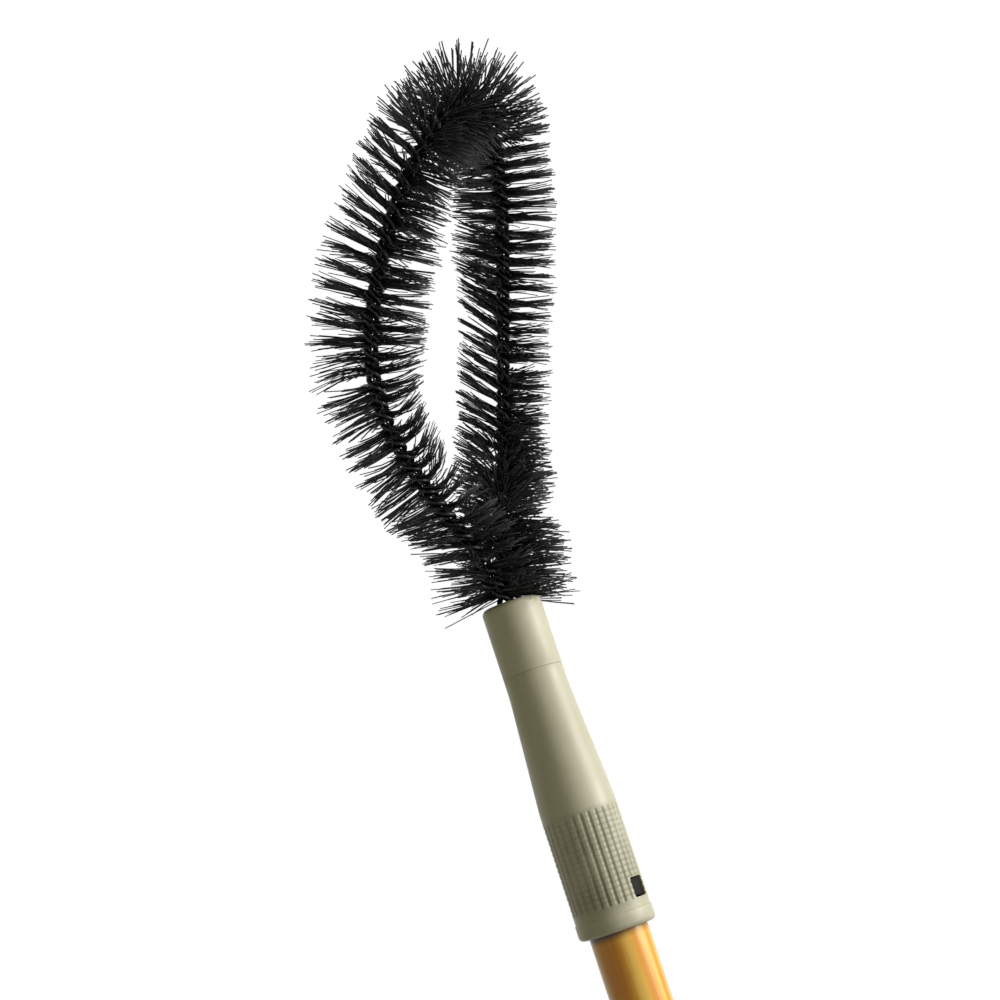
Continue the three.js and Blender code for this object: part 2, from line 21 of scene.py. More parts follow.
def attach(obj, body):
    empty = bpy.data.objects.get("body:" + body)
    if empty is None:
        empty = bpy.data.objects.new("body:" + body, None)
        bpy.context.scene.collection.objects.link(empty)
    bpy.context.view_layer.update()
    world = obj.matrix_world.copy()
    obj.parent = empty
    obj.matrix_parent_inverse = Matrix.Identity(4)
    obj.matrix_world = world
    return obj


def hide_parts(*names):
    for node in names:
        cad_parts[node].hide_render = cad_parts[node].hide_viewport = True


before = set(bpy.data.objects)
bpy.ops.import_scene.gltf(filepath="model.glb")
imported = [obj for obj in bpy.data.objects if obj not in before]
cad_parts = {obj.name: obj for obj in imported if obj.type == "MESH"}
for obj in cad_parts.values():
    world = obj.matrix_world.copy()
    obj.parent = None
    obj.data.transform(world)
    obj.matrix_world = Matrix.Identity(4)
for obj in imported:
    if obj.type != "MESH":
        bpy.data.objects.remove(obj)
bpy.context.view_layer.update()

MM = 0.001
TOUCH = 0.01 * MM
MERGE = 0.001 * MM
# Vertex attribute that darkens colour as painted shade, partly dirt: a shadow ring on the pole under the
# ferrule's mouth, the rim's lower edge and the grip's flutes.
SHADE_AND_GRIME = "shade_and_grime"

Colour = tuple[float, float, float, float]
Profile = Sequence[tuple[float, float]]
Place = tuple[float, float, float]
Inputs = Mapping[str | int, object]

WHITE: Colour = (1.0, 1.0, 1.0, 1.0)

log = logging.getLogger("duct_brush")


class Body(Enum):
    """Moving bodies of the brush."""

    POLE = "pole"
    HANDLE = "handle"
    TONGUE = "lock_tongue"


class Slot(Enum):
    """Material slots of the record."""

    WOOD = "pole_wood"
    BEIGE = "beige_plastic"
    BLACK = "black_plastic"
    WIRE = "wire_steel"
    ZINC = "zinc_steel"
    BRISTLE = "bristle"


class ShadeBelow(Enum):
    """Edge angle, in degrees, below which a surface is shaded smooth."""

    TURNED = 32.0
    MOULDED = 40.0
    FILAMENT = 100.0


Finishes = Mapping[Slot, Material]


# Mesh helpers


def to_piece(name: str, mesh: BMesh, shade: ShadeBelow, *cutters: BMesh) -> Object:
    """Turn a finished bmesh into an object at the origin, and cut shapes out of it.

    Args:
        name: Name of the piece.
        mesh: Closed mesh in metres, freed here.
        shade: How sharp an edge stays visible.
        cutters: Closed meshes to cut away, freed here.

    Returns:
        The linked object.
    """
    data = bpy.data.meshes.new(name)
    mesh.to_mesh(data)
    mesh.free()
    smooth_faces(data, shade)
    piece = bpy.data.objects.new(name, data)
    bpy.context.scene.collection.objects.link(piece)
    if cutters:
        cut_away(piece, cutters, shade)
    return piece


def smooth_faces(data: Mesh, shade: ShadeBelow) -> None:
    """Shade a mesh smooth, except over its hard edges."""
    data.polygons.foreach_set("use_smooth", [True] * len(data.polygons))
    data.set_sharp_from_angle(angle=math.radians(shade.value))


def turned(profile: Sequence[tuple[float, ...]], sides: int, closed: bool = False) -> BMesh:
    """Spin an outline about the pole's axis, and round its edges.

    Args:
        profile: Points of (radius, height), from axis to axis or round a wall's section. A point
            whose edge is rounded also gives the width of the round and the faces across it.
        sides: Steps round the axis.
        closed: Whether the outline's last point joins its first.

    Returns:
        A closed mesh with its faces outwards.
    """
    mesh = bmesh.new()
    corners = [mesh.verts.new((radius, 0.0, height)) for radius, height, *_ in profile]
    pairs = list(zip(corners, corners[1:]))
    if closed:
        pairs.append((corners[-1], corners[0]))
    edges = [mesh.edges.new(pair) for pair in pairs]
    bmesh.ops.spin(
        mesh,
        geom=corners + edges,
        cent=(0.0, 0.0, 0.0),
        axis=(0.0, 0.0, 1.0),
        angle=2.0 * math.pi,
        steps=sides,
        use_merge=True,
        use_duplicate=False,
    )
    bmesh.ops.remove_doubles(mesh, verts=mesh.verts, dist=MERGE)
    bmesh.ops.recalc_face_normals(mesh, faces=mesh.faces)
    for radius, height, *rounding in profile:
        if rounding:
            soften(mesh, ring_edges(mesh, radius, height), *rounding)
    return mesh


def soften(mesh: BMesh, edges: list[BMEdge], width: float, steps: int) -> None:
    """Round a set of edges.

    Args:
        mesh: Mesh that the edges belong to.
        edges: Edges to round.
        width: Width of the round.
        steps: Faces across the round.
    """
    bmesh.ops.bevel(
        mesh,
        geom=edges,
        offset=width,
        offset_type="OFFSET",
        segments=steps,
        profile=0.5,
        affect="EDGES",
        clamp_overlap=True,
        material=-1,
    )


def ring_edges(mesh: BMesh, radius: float, height: float) -> list[BMEdge]:
    """Find the edges of the ring at a radius and height.

    Args:
        mesh: Mesh to search.
        radius: Radius of the ring.
        height: Height of the ring.

    Returns:
        Its edges.
    """

    def on_ring(vertex: BMVert) -> bool:
        """Tell whether a vertex lies on the ring."""
        return abs(vertex.co.xy.length - radius) < TOUCH and abs(vertex.co.z - height) < TOUCH

    return [edge for edge in mesh.edges if on_ring(edge.verts[0]) and on_ring(edge.verts[1])]


def cut_rings(mesh: BMesh, radius: float, heights: Iterable[float]) -> None:
    """Add a ring of edges at each height of a round wall.

    Args:
        mesh: Mesh to cut.
        radius: Radius of the wall.
        heights: Heights of the rings.
    """
    for height in heights:
        wall = [face for face in mesh.faces if all(abs(v.co.xy.length - radius) < TOUCH for v in face.verts)]
        edges = dict.fromkeys(edge for face in wall for edge in face.edges)
        corners = dict.fromkeys(vertex for face in wall for vertex in face.verts)
        bmesh.ops.bisect_plane(
            mesh,
            geom=[*wall, *edges, *corners],
            dist=MERGE,
            plane_co=(0.0, 0.0, height),
            plane_no=(0.0, 0.0, 1.0),
        )


def block(size: Place, centre: Place) -> BMesh:
    """Make a box.

    Args:
        size: Size along X, Y and Z.
        centre: Middle of the box.

    Returns:
        The closed mesh.
    """
    mesh = bmesh.new()
    place = Matrix.Translation(centre) @ Matrix.Diagonal((*size, 1.0))
    bmesh.ops.create_cube(mesh, size=1.0, matrix=place)
    return mesh


def rod(radius: float, length: float, place: Matrix, sides: int) -> BMesh:
    """Make a round rod along its own Z, moved to its place.

    Args:
        radius: Radius of the rod.
        length: Length, half on each side of its middle.
        place: Where it is moved to.
        sides: Faces round it.

    Returns:
        The closed mesh.
    """
    mesh = bmesh.new()
    bmesh.ops.create_cone(
        mesh,
        cap_ends=True,
        segments=sides,
        radius1=radius,
        radius2=radius,
        depth=length,
        matrix=place,
    )
    return mesh


def facing_front(height: float, front: float = 0.0) -> Matrix:
    """Turn a shape made along +Z to the front, at a height and so far in front of the axis."""
    return Matrix.Translation((0.0, -front, height)) @ Matrix.Rotation(0.5 * math.pi, 4, "X")


def front_prism(outline: Profile, width: float) -> BMesh:
    """Extrude an outline along X.

    Args:
        outline: Points of (distance in front of the axis, height), where front is -Y.
        width: Width along X, half on each side.

    Returns:
        A closed mesh with its faces outwards.
    """
    mesh = bmesh.new()
    corners = [mesh.verts.new((-width / 2.0, -front, height)) for front, height in outline]
    flank = mesh.faces.new(corners)
    grown = bmesh.ops.extrude_face_region(mesh, geom=[flank])["geom"]
    moved = [item for item in grown if isinstance(item, BMVert)]
    bmesh.ops.translate(mesh, vec=(width, 0.0, 0.0), verts=moved)
    bmesh.ops.recalc_face_normals(mesh, faces=mesh.faces)
    return mesh


def grow(mesh: BMesh, ends: list[BMFace]) -> tuple[list[BMVert], list[BMFace]]:
    """Extrude end faces by one step, so that none of the old ones stays inside.

    Args:
        mesh: Mesh that the faces belong to.
        ends: End faces, which don't touch each other.

    Returns:
        The vertices of the new rings, still to be moved, and the new end faces.
    """
    rims = [edge for face in ends for edge in face.edges]
    grown = bmesh.ops.extrude_face_region(mesh, geom=ends + rims)["geom"]
    ring = [item for item in grown if isinstance(item, BMVert)]
    return ring, [item for item in grown if isinstance(item, BMFace)]


def cut_away(piece: Object, cutters: Sequence[BMesh], shade: ShadeBelow) -> None:
    """Cut closed shapes out of a piece and keep the result as its mesh.

    Args:
        piece: Piece to cut.
        cutters: Closed meshes, freed here.
        shade: How the cut piece is shaded.
    """
    for cutter in cutters:
        tool = to_piece("cutter", cutter, shade)
        step = piece.modifiers.new("cut", "BOOLEAN")
        step.operation = "DIFFERENCE"
        step.solver = "EXACT"
        step.object = tool
        graph = bpy.context.evaluated_depsgraph_get()
        kept = bpy.data.meshes.new_from_object(piece.evaluated_get(graph))
        piece.modifiers.clear()
        spare = piece.data
        piece.data = kept
        bpy.data.meshes.remove(spare)
        bpy.data.meshes.remove(tool.data)
    mesh = bmesh.new()
    mesh.from_mesh(piece.data)
    bmesh.ops.remove_doubles(mesh, verts=mesh.verts, dist=MERGE)
    mesh.to_mesh(piece.data)
    mesh.free()
    smooth_faces(piece.data, shade)


def hand_over(piece: Object, finishes: Finishes, body: Body, slot: Slot, *nodes: str) -> None:
    """Dress a piece and set it in the frame.

    Args:
        piece: Finished piece.
        finishes: Material of each slot.
        body: Body that it rides on.
        slot: Slot of the record that it is finished as.
        nodes: CAD nodes that it stands for.
    """
    piece.data.materials.clear()
    piece.data.materials.append(finishes[slot])
    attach(piece, body.value)
    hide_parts(*nodes)
    log.info("%s rides %s, %d faces", piece.name, body.value, len(piece.data.polygons))


# Finishes


@dataclass
class NodeSheet:
    """Short way to place and join the nodes of one tree."""

    tree: NodeTree

    def add(self, kind: str, inputs: Inputs | None = None, **settings: object) -> Node:
        """Place a node, set its properties and feed its inputs.

        Args:
            kind: Node type.
            inputs: Sockets and plain values, by each input's name or number.
            settings: Properties by name.

        Returns:
            The new node.
        """
        node = self.tree.nodes.new(kind)
        for name, value in settings.items():
            setattr(node, name, value)
        self.feed(node, inputs or {})
        return node

    def feed(self, node: Node, inputs: Inputs) -> None:
        """Join sockets to the inputs of a node, or set their values.

        Args:
            node: Node to feed.
            inputs: Sockets and plain values, by each input's name or number.
        """
        for name, value in inputs.items():
            if isinstance(value, NodeSocket):
                self.tree.links.new(value, node.inputs[name])
            else:
                node.inputs[name].default_value = value

    def object_place(self, stretch: Place) -> NodeSocket:
        """Give Object coordinates, scaled along each axis."""
        place = self.add("ShaderNodeTexCoord").outputs["Object"]
        return self.add("ShaderNodeMapping", {"Vector": place, "Scale": stretch}).outputs["Vector"]

    def cloud(self, place: NodeSocket, scale: float | NodeSocket, detail: float) -> NodeSocket:
        """Give a noise value over a place, with so many features per metre and finer octaves."""
        inputs = {"Vector": place, "Scale": scale, "Detail": detail}
        return self.add("ShaderNodeTexNoise", inputs).outputs["Fac"]

    def ramp(self, value: NodeSocket, stops: Sequence[tuple[float, Colour]]) -> NodeSocket:
        """Turn a value into a colour.

        Args:
            value: Socket from 0 to 1.
            stops: Positions and colours, two or more.

        Returns:
            The colour socket.
        """
        node = self.add("ShaderNodeValToRGB", {"Fac": value})
        marks = node.color_ramp.elements
        while len(marks) < len(stops):
            marks.new(0.5)
        for mark, (position, colour) in zip(marks, stops):
            mark.position = position
            mark.color = colour
        return node.outputs["Color"]

    def spread(self, value: NodeSocket, low: float, high: float) -> NodeSocket:
        """Stretch a value from 0..1 to a range."""
        inputs = {"Value": value, "To Min": low, "To Max": high}
        return self.add("ShaderNodeMapRange", inputs).outputs["Result"]

    def combine(self, operation: str, first: NodeSocket, second: NodeSocket) -> NodeSocket:
        """Work out one value from two."""
        return self.add("ShaderNodeMath", {0: first, 1: second}, operation=operation).outputs["Value"]

    def blend(self, amount: NodeSocket, base: NodeSocket, over: Colour) -> NodeSocket:
        """Lay a colour over another by a mask."""
        inputs = {"Factor": amount, "A": base, "B": over}
        return self.add("ShaderNodeMix", inputs, data_type="RGBA").outputs["Result"]

    def lay_shade_and_dirt(self, base: NodeSocket, patches: NodeSocket, shade_and_grime: Colour) -> NodeSocket:
        """Lay painted shade and dirt over a colour, as much as the piece's attribute gives.

        Args:
            base: Colour socket underneath.
            patches: Mask of patches in which more of it lies.
            shade_and_grime: Colour of the painted shade and dirt.

        Returns:
            The colour socket.
        """
        shade_mask = self.add("ShaderNodeAttribute", attribute_name=SHADE_AND_GRIME).outputs["Fac"]
        darkening = self.combine("MULTIPLY", shade_mask, self.spread(patches, low=0.35, high=0.9))
        return self.blend(darkening, base, shade_and_grime)

    def bump(self, height: NodeSocket, depth: float, strength: float) -> NodeSocket:
        """Turn a height, whose full step is a depth in metres, into a normal."""
        inputs = {"Height": height, "Distance": depth, "Strength": strength}
        return self.add("ShaderNodeBump", inputs).outputs["Normal"]


def start_material(name: str) -> tuple[Material, NodeSheet, Node]:
    """Start a material with a Principled BSDF on an empty sheet.

    Args:
        name: Name of the material.

    Returns:
        The material, its sheet and the shader node.
    """
    material = bpy.data.materials.new(name)
    material.use_nodes = True
    material.node_tree.nodes.clear()
    sheet = NodeSheet(material.node_tree)
    shader = sheet.add("ShaderNodeBsdfPrincipled")
    sheet.add("ShaderNodeOutputMaterial", {"Surface": shader.outputs["BSDF"]})
    return material, sheet, shader


class HandlingWear:
    """Shared group: soft staining and fine rub marks of a tool that is used by hand."""

    name = "handling_wear"

    def tree(self) -> NodeTree:
        """Build the group once.

        Returns:
            The group, with the masks Stain and Rub and the height Grain.
        """
        if self.name in bpy.data.node_groups:
            return bpy.data.node_groups[self.name]
        tree = bpy.data.node_groups.new(self.name, "ShaderNodeTree")
        for mark in ("Stain", "Rub", "Grain"):
            tree.interface.new_socket(f"{mark} Scale", in_out="INPUT", socket_type="NodeSocketFloat")
            tree.interface.new_socket(mark, in_out="OUTPUT", socket_type="NodeSocketFloat")
        sheet = NodeSheet(tree)
        given = sheet.add("NodeGroupInput")
        result = sheet.add("NodeGroupOutput")
        round_place = sheet.object_place((1.0, 1.0, 1.0))
        long_place = sheet.object_place((1.0, 1.0, 0.12))
        for mark, place, detail, low, high in (
            ("Stain", round_place, 4.0, 0.42, 0.68),
            ("Rub", long_place, 6.0, 0.56, 0.74),
            ("Grain", round_place, 2.0, 0.2, 0.8),
        ):
            cloud = sheet.cloud(place, given.outputs[f"{mark} Scale"], detail)
            window = sheet.add("ShaderNodeMapRange", {"Value": cloud, "From Min": low, "From Max": high})
            sheet.feed(result, {mark: window.outputs["Result"]})
        return tree

    def place(self, sheet: NodeSheet, stain: float, rub: float, grain: float) -> Node:
        """Place the group in a material, with so many stains, rub marks and grains per metre."""
        scales = {"Stain Scale": stain, "Rub Scale": rub, "Grain Scale": grain}
        return sheet.add("ShaderNodeGroup", scales, node_tree=self.tree())


@dataclass(frozen=True)
class VarnishedWood:
    """Honey-coloured pole timber: long fibres and wide growth bands under a glossy varnish, and a painted
    shadow ring under the ferrule's mouth.
    """

    dark: Colour = (0.68, 0.25, 0.02, 1.0)
    honey: Colour = (0.78, 0.37, 0.04, 1.0)
    light: Colour = (0.84, 0.53, 0.12, 1.0)
    stain: Colour = (0.42, 0.17, 0.015, 1.0)
    # Colour of the painted shadow ring under the ferrule's mouth.
    shade_and_grime: Colour = (0.06, 0.035, 0.012, 1.0)

    def material(self) -> Material:
        """Build the finish.

        Returns:
            The material.
        """
        material, sheet, shader = start_material("varnished_wood")
        fibres = sheet.cloud(sheet.object_place((1.0, 1.0, 0.03)), scale=900.0, detail=4.0)
        growth = {
            "Vector": sheet.object_place((1.0, 0.6, 0.07)),
            "Scale": 55.0,
            "Distortion": 6.0,
            "Detail": 2.0,
            "Detail Scale": 1.2,
        }
        bands = sheet.add("ShaderNodeTexWave", growth, wave_type="BANDS", bands_direction="X")
        shares = {"Factor": 0.45, "A": fibres, "B": bands.outputs["Fac"]}
        grain = sheet.add("ShaderNodeMix", shares, data_type="FLOAT").outputs["Result"]
        timber = sheet.ramp(grain, ((0.22, self.dark), (0.48, self.honey), (0.8, self.light)))
        wear = HandlingWear().place(sheet, stain=18.0, rub=140.0, grain=3000.0).outputs
        stained = sheet.blend(sheet.spread(wear["Stain"], low=0.0, high=0.18), timber, self.stain)
        inputs = {
            # Painted shadow ring under the ferrule's mouth, from the pole's attribute.
            "Base Color": sheet.lay_shade_and_dirt(stained, wear["Stain"], self.shade_and_grime),
            "Roughness": sheet.spread(wear["Rub"], low=0.3, high=0.45),
            "Normal": sheet.bump(fibres, depth=0.15 * MM, strength=0.25),
            "Specular IOR Level": 0.1,
            "Coat Weight": 0.55,
            "Coat Roughness": 0.36,
        }
        sheet.feed(shader, inputs)
        return material


@dataclass(frozen=True)
class MouldedPlastic:
    """Moulded plastic with a faint flow of tone, a fine mould grain, rubbed patches, and painted shade with
    dirt where its attribute says.
    """

    name: str
    deep: Colour
    body: Colour
    pale: Colour
    rubbed: Colour
    gloss_low: float
    gloss_high: float
    shine: float
    # Colour of the painted shade, partly dirt, in the grip's flutes and on the rim's lower edge.
    shade_and_grime: Colour = (0.13, 0.128, 0.08, 1.0)

    def material(self) -> Material:
        """Build the finish.

        Returns:
            The material.
        """
        material, sheet, shader = start_material(self.name)
        flow = sheet.cloud(sheet.object_place((1.0, 1.0, 0.35)), scale=60.0, detail=3.0)
        toned = sheet.ramp(flow, ((0.25, self.deep), (0.5, self.body), (0.78, self.pale)))
        wear = HandlingWear().place(sheet, stain=45.0, rub=420.0, grain=3500.0).outputs
        rubbed = sheet.blend(sheet.spread(wear["Rub"], low=0.0, high=0.22), toned, self.rubbed)
        inputs = {
            # Painted shade, partly dirt, from the piece's attribute.
            "Base Color": sheet.lay_shade_and_dirt(rubbed, wear["Stain"], self.shade_and_grime),
            "Roughness": sheet.spread(wear["Stain"], self.gloss_low, self.gloss_high),
            "Normal": sheet.bump(wear["Grain"], depth=0.05 * MM, strength=0.3),
            "Specular IOR Level": self.shine,
        }
        sheet.feed(shader, inputs)
        return material


@dataclass(frozen=True)
class BlackFilament:
    """Stiff black bristle filament: a dull sheen that varies from one filament to the next."""

    deep: Colour = (0.0035, 0.004, 0.004, 1.0)
    body: Colour = (0.009, 0.0095, 0.0095, 1.0)
    dusty: Colour = (0.024, 0.024, 0.022, 1.0)

    def material(self) -> Material:
        """Build the finish.

        Returns:
            The material.
        """
        material, sheet, shader = start_material("black_filament")
        place = sheet.object_place((1.0, 1.0, 1.0))
        streak = sheet.cloud(place, scale=700.0, detail=3.0)
        sheen = sheet.cloud(place, scale=260.0, detail=2.0)
        inputs = {
            "Base Color": sheet.ramp(streak, ((0.3, self.deep), (0.55, self.body), (0.85, self.dusty))),
            "Roughness": sheet.spread(sheen, low=0.42, high=0.62),
            "Specular IOR Level": 0.25,
        }
        sheet.feed(shader, inputs)
        return material


@dataclass(frozen=True)
class Steel:
    """Drawn or plated steel with draw lines and a dulled, slightly stained surface."""

    name: str
    dull: Colour
    bright: Colour
    stain: Colour
    gloss_low: float
    gloss_high: float

    def material(self) -> Material:
        """Build the finish.

        Returns:
            The material.
        """
        material, sheet, shader = start_material(self.name)
        lines = sheet.cloud(sheet.object_place((1.0, 1.0, 0.2)), scale=1500.0, detail=3.0)
        toned = sheet.ramp(lines, ((0.3, self.dull), (0.7, self.bright)))
        wear = HandlingWear().place(sheet, stain=120.0, rub=900.0, grain=4000.0).outputs
        inputs = {
            "Base Color": sheet.blend(sheet.spread(wear["Stain"], low=0.0, high=0.4), toned, self.stain),
            "Roughness": sheet.spread(wear["Rub"], self.gloss_low, self.gloss_high),
            "Normal": sheet.bump(lines, depth=0.03 * MM, strength=0.25),
            "Metallic": 1.0,
        }
        sheet.feed(shader, inputs)
        return material


FINISHES = {
    Slot.WOOD: VarnishedWood(),
    Slot.BEIGE: MouldedPlastic(
        name="beige_moulding",
        deep=(0.42, 0.396, 0.28, 1.0),
        body=(0.475, 0.452, 0.335, 1.0),
        pale=(0.52, 0.497, 0.38, 1.0),
        rubbed=(0.59, 0.57, 0.46, 1.0),
        gloss_low=0.4,
        gloss_high=0.52,
        shine=0.35,
    ),
    Slot.BLACK: MouldedPlastic(
        name="black_moulding",
        deep=(0.005, 0.0045, 0.004, 1.0),
        body=(0.008, 0.0075, 0.006, 1.0),
        pale=(0.012, 0.011, 0.009, 1.0),
        rubbed=(0.02, 0.018, 0.015, 1.0),
        gloss_low=0.5,
        gloss_high=0.68,
        shine=0.1,
    ),
    Slot.BRISTLE: BlackFilament(),
    Slot.WIRE: Steel(
        name="dark_drawn_wire",
        dull=(0.014, 0.014, 0.015, 1.0),
        bright=(0.035, 0.035, 0.036, 1.0),
        stain=(0.02, 0.017, 0.014, 1.0),
        gloss_low=0.38,
        gloss_high=0.6,
    ),
    Slot.ZINC: Steel(
        name="zinc_plated_steel",
        dull=(0.28, 0.29, 0.3, 1.0),
        bright=(0.42, 0.42, 0.41, 1.0),
        stain=(0.2, 0.185, 0.16, 1.0),
        gloss_low=0.25,
        gloss_high=0.45,
    ),
}


# Loop of wire and bristles


@dataclass(frozen=True)
class StrandPoint:
    """Place on the strand, with the directions along and across it there."""

    point: Vector
    forward: Vector
    across: Vector
    side: Vector

    def outward(self, angle: float) -> Vector:
        """Give the direction away from the strand at an angle about it."""
        return self.across * math.cos(angle) + self.side * math.sin(angle)


@dataclass
class Strand:
    """Line that both wires twist round: up one stem, over the loop and down the other."""

    stem_x: float = 4.5 * MM
    stem_foot: float = 474.7 * MM
    neck_height: float = 532.3 * MM
    half_width: float = 53.0 * MM
    widest_height: float = 643.3 * MM
    widest_bow: float = 6.0 * MM
    widest_lean: float = 20.0
    tip_height: float = 733.3 * MM
    tip_bow: float = 56.0 * MM
    tip_radius: float = 29.5 * MM
    neck_handle: float = 33.0 * MM
    below_handle: float = 48.0 * MM
    above_handle: float = 38.0 * MM
    pitch: float = 12.4 * MM
    samples: int = 240
    stem_samples: int = 40
    points: list[Vector] = field(init=False, repr=False)
    lengths: list[float] = field(init=False, repr=False)

    def __post_init__(self) -> None:
        """Sample the line from the first stem's foot to the second's."""
        lean = math.radians(self.widest_lean)
        rise = Vector((0.0, -math.sin(lean), math.cos(lean)))
        neck = Vector((-self.stem_x, 0.0, self.neck_height))
        above_neck = neck + Vector((0.0, 0.0, self.neck_handle))
        widest = Vector((-self.half_width, -self.widest_bow, self.widest_height))
        below = widest - rise * self.below_handle
        above = widest + rise * self.above_handle
        tip = Vector((0.0, -self.tip_bow, self.tip_height))
        drop = math.hypot(tip.y - above.y, tip.z - above.z)
        beside = Vector((-math.sqrt(2.0 / 3.0 * drop * self.tip_radius), tip.y, tip.z))
        foot = Vector((-self.stem_x, 0.0, self.stem_foot))
        half = [foot.lerp(neck, step / self.stem_samples) for step in range(self.stem_samples)]
        half += geometry.interpolate_bezier(neck, above_neck, below, widest, self.samples)[:-1]
        half += geometry.interpolate_bezier(widest, above, beside, tip, self.samples)
        other = [Vector((-point.x, point.y, point.z)) for point in reversed(half[:-1])]
        self.points = half + other
        self.lengths = [0.0]
        for start, end in zip(self.points, self.points[1:]):
            self.lengths.append(self.lengths[-1] + (end - start).length)

    @property
    def length(self) -> float:
        """Length of the whole strand."""
        return self.lengths[-1]

    @property
    def stem_length(self) -> float:
        """Length of one stem below the top of the neck cap."""
        return self.neck_height - self.stem_foot

    def at(self, along: float) -> StrandPoint:
        """Give the place and directions at a distance along the strand.

        Args:
            along: Distance from the first stem's foot.

        Returns:
            The point and its directions, before the twist.
        """
        last = len(self.points) - 2
        index = min(max(bisect.bisect_right(self.lengths, along) - 1, 0), last)
        start, end = self.points[index], self.points[index + 1]
        share = (along - self.lengths[index]) / (self.lengths[index + 1] - self.lengths[index])
        before = self.points[max(index - 1, 0)]
        after = self.points[min(index + 2, last + 1)]
        forward = (end - before).normalized().lerp((after - start).normalized(), share).normalized()
        across = (Vector((0.0, 1.0, 0.0)) - forward * forward.y).normalized()
        return StrandPoint(start.lerp(end, share), forward, across, forward.cross(across))

    def twist(self, along: float) -> float:
        """Angle of the twist at a distance along the strand."""
        return -2.0 * math.pi * along / self.pitch


@dataclass
class TwistedWires:
    """Two wires twisted round the strand, which grip the filaments between them."""

    strand: Strand
    wire_radius: float = 1.2 * MM
    offset: float = 2.0 * MM
    sides: int = 10
    steps_per_turn: int = 14

    def build(self) -> list[Object]:
        """Build both wires."""
        return [self.wire("twisted_wire_a", 0.5 * math.pi), self.wire("twisted_wire_b", 1.5 * math.pi)]

    def wire(self, name: str, phase: float) -> Object:
        """Sweep one wire along the strand.

        Args:
            name: Name of the piece.
            phase: Angle about the strand from the bristles' own direction.

        Returns:
            The wire.
        """
        mesh = bmesh.new()
        corner = mesh.verts.layers.int.new("corner")
        made = bmesh.ops.create_circle(mesh, cap_ends=True, segments=self.sides, radius=self.wire_radius)
        for index, vertex in enumerate(made["verts"]):
            vertex[corner] = index
        steps = round(self.strand.length / self.strand.pitch * self.steps_per_turn)
        self.lay(made["verts"], corner, 0.0, phase)
        cap = mesh.faces[:]
        for step in range(1, steps + 1):
            ring, cap = grow(mesh, cap)
            self.lay(ring, corner, self.strand.length * step / steps, phase)
        bmesh.ops.recalc_face_normals(mesh, faces=mesh.faces)
        return to_piece(name, mesh, ShadeBelow.MOULDED)

    def lay(self, ring: Iterable[BMVert], corner: BMLayerItem, along: float, phase: float) -> None:
        """Move a ring of the wire to its place on the strand.

        Args:
            ring: Vertices of the ring.
            corner: Layer with each vertex's place round the ring.
            along: Distance along the strand.
            phase: Angle of the wire about the strand.
        """
        spot = self.strand.at(along)
        angle = self.strand.twist(along) + phase
        out = spot.outward(angle)
        slant = -2.0 * math.pi * self.offset / self.strand.pitch
        heading = (spot.forward + spot.outward(angle + 0.5 * math.pi) * slant).normalized()
        flank = heading.cross(out)
        centre = spot.point + out * self.offset
        for vertex in ring:
            turn = 2.0 * math.pi * vertex[corner] / self.sides
            vertex.co = centre + (out * math.cos(turn) + flank * math.sin(turn)) * self.wire_radius

    def dress(self, pieces: Sequence[Object], finishes: Finishes) -> None:
        """Finish both wires and set them in the frame."""
        for piece, node in zip(pieces, ("core_wire_a", "core_wire_b")):
            hand_over(piece, finishes, Body.HANDLE, Slot.WIRE, node)


@dataclass(frozen=True)
class Filament:
    """One bristle: a root between the wires, a reach outwards and a bend towards its tip."""

    root: Vector
    reach: Vector
    bend: Vector
    flat: Vector
    width: float
    taper: float = 0.12

    def ring(self, share: float) -> tuple[Vector, Vector, Vector]:
        """Give the section at a share of the filament's length.

        Args:
            share: 0 at the root and 1 at the tip.

        Returns:
            The centre, and the half widths along the section's two sides.
        """
        centre = self.root + self.reach * share + self.bend * share * share
        across = self.flat.cross(self.reach).normalized()
        half = self.width * (0.5 - self.taper * share)
        return centre, self.flat * half, across * half


def read_table(table: Profile, place: float) -> float:
    """Read a table of (place, value) pairs, straight between its entries.

    Args:
        table: Pairs in the order of their places.
        place: Place to read at.

    Returns:
        The value there, or the nearest entry's beyond the ends.
    """
    if place <= table[0][0]:
        return table[0][1]
    for (start, low), (end, high) in zip(table, table[1:]):
        if place <= end:
            return low + (high - low) * (place - start) / (end - start)
    return table[-1][1]


@dataclass(frozen=True)
class Lay:
    """How use has left the bristles on one face of one side of the loop.

    Each table is read by the share of the way from the neck to the loop's tip. The bristles lean
    towards the tip by some degrees, stand a share of their length, keep to their rows by a share, and
    hook towards the tip by a share of their length. A share of them strays between the rows.
    """

    lean: Profile
    reach: Profile
    order: Profile
    hook: Profile = ((0.0, 0.0),)
    stray: Profile = ((0.0, 0.44),)


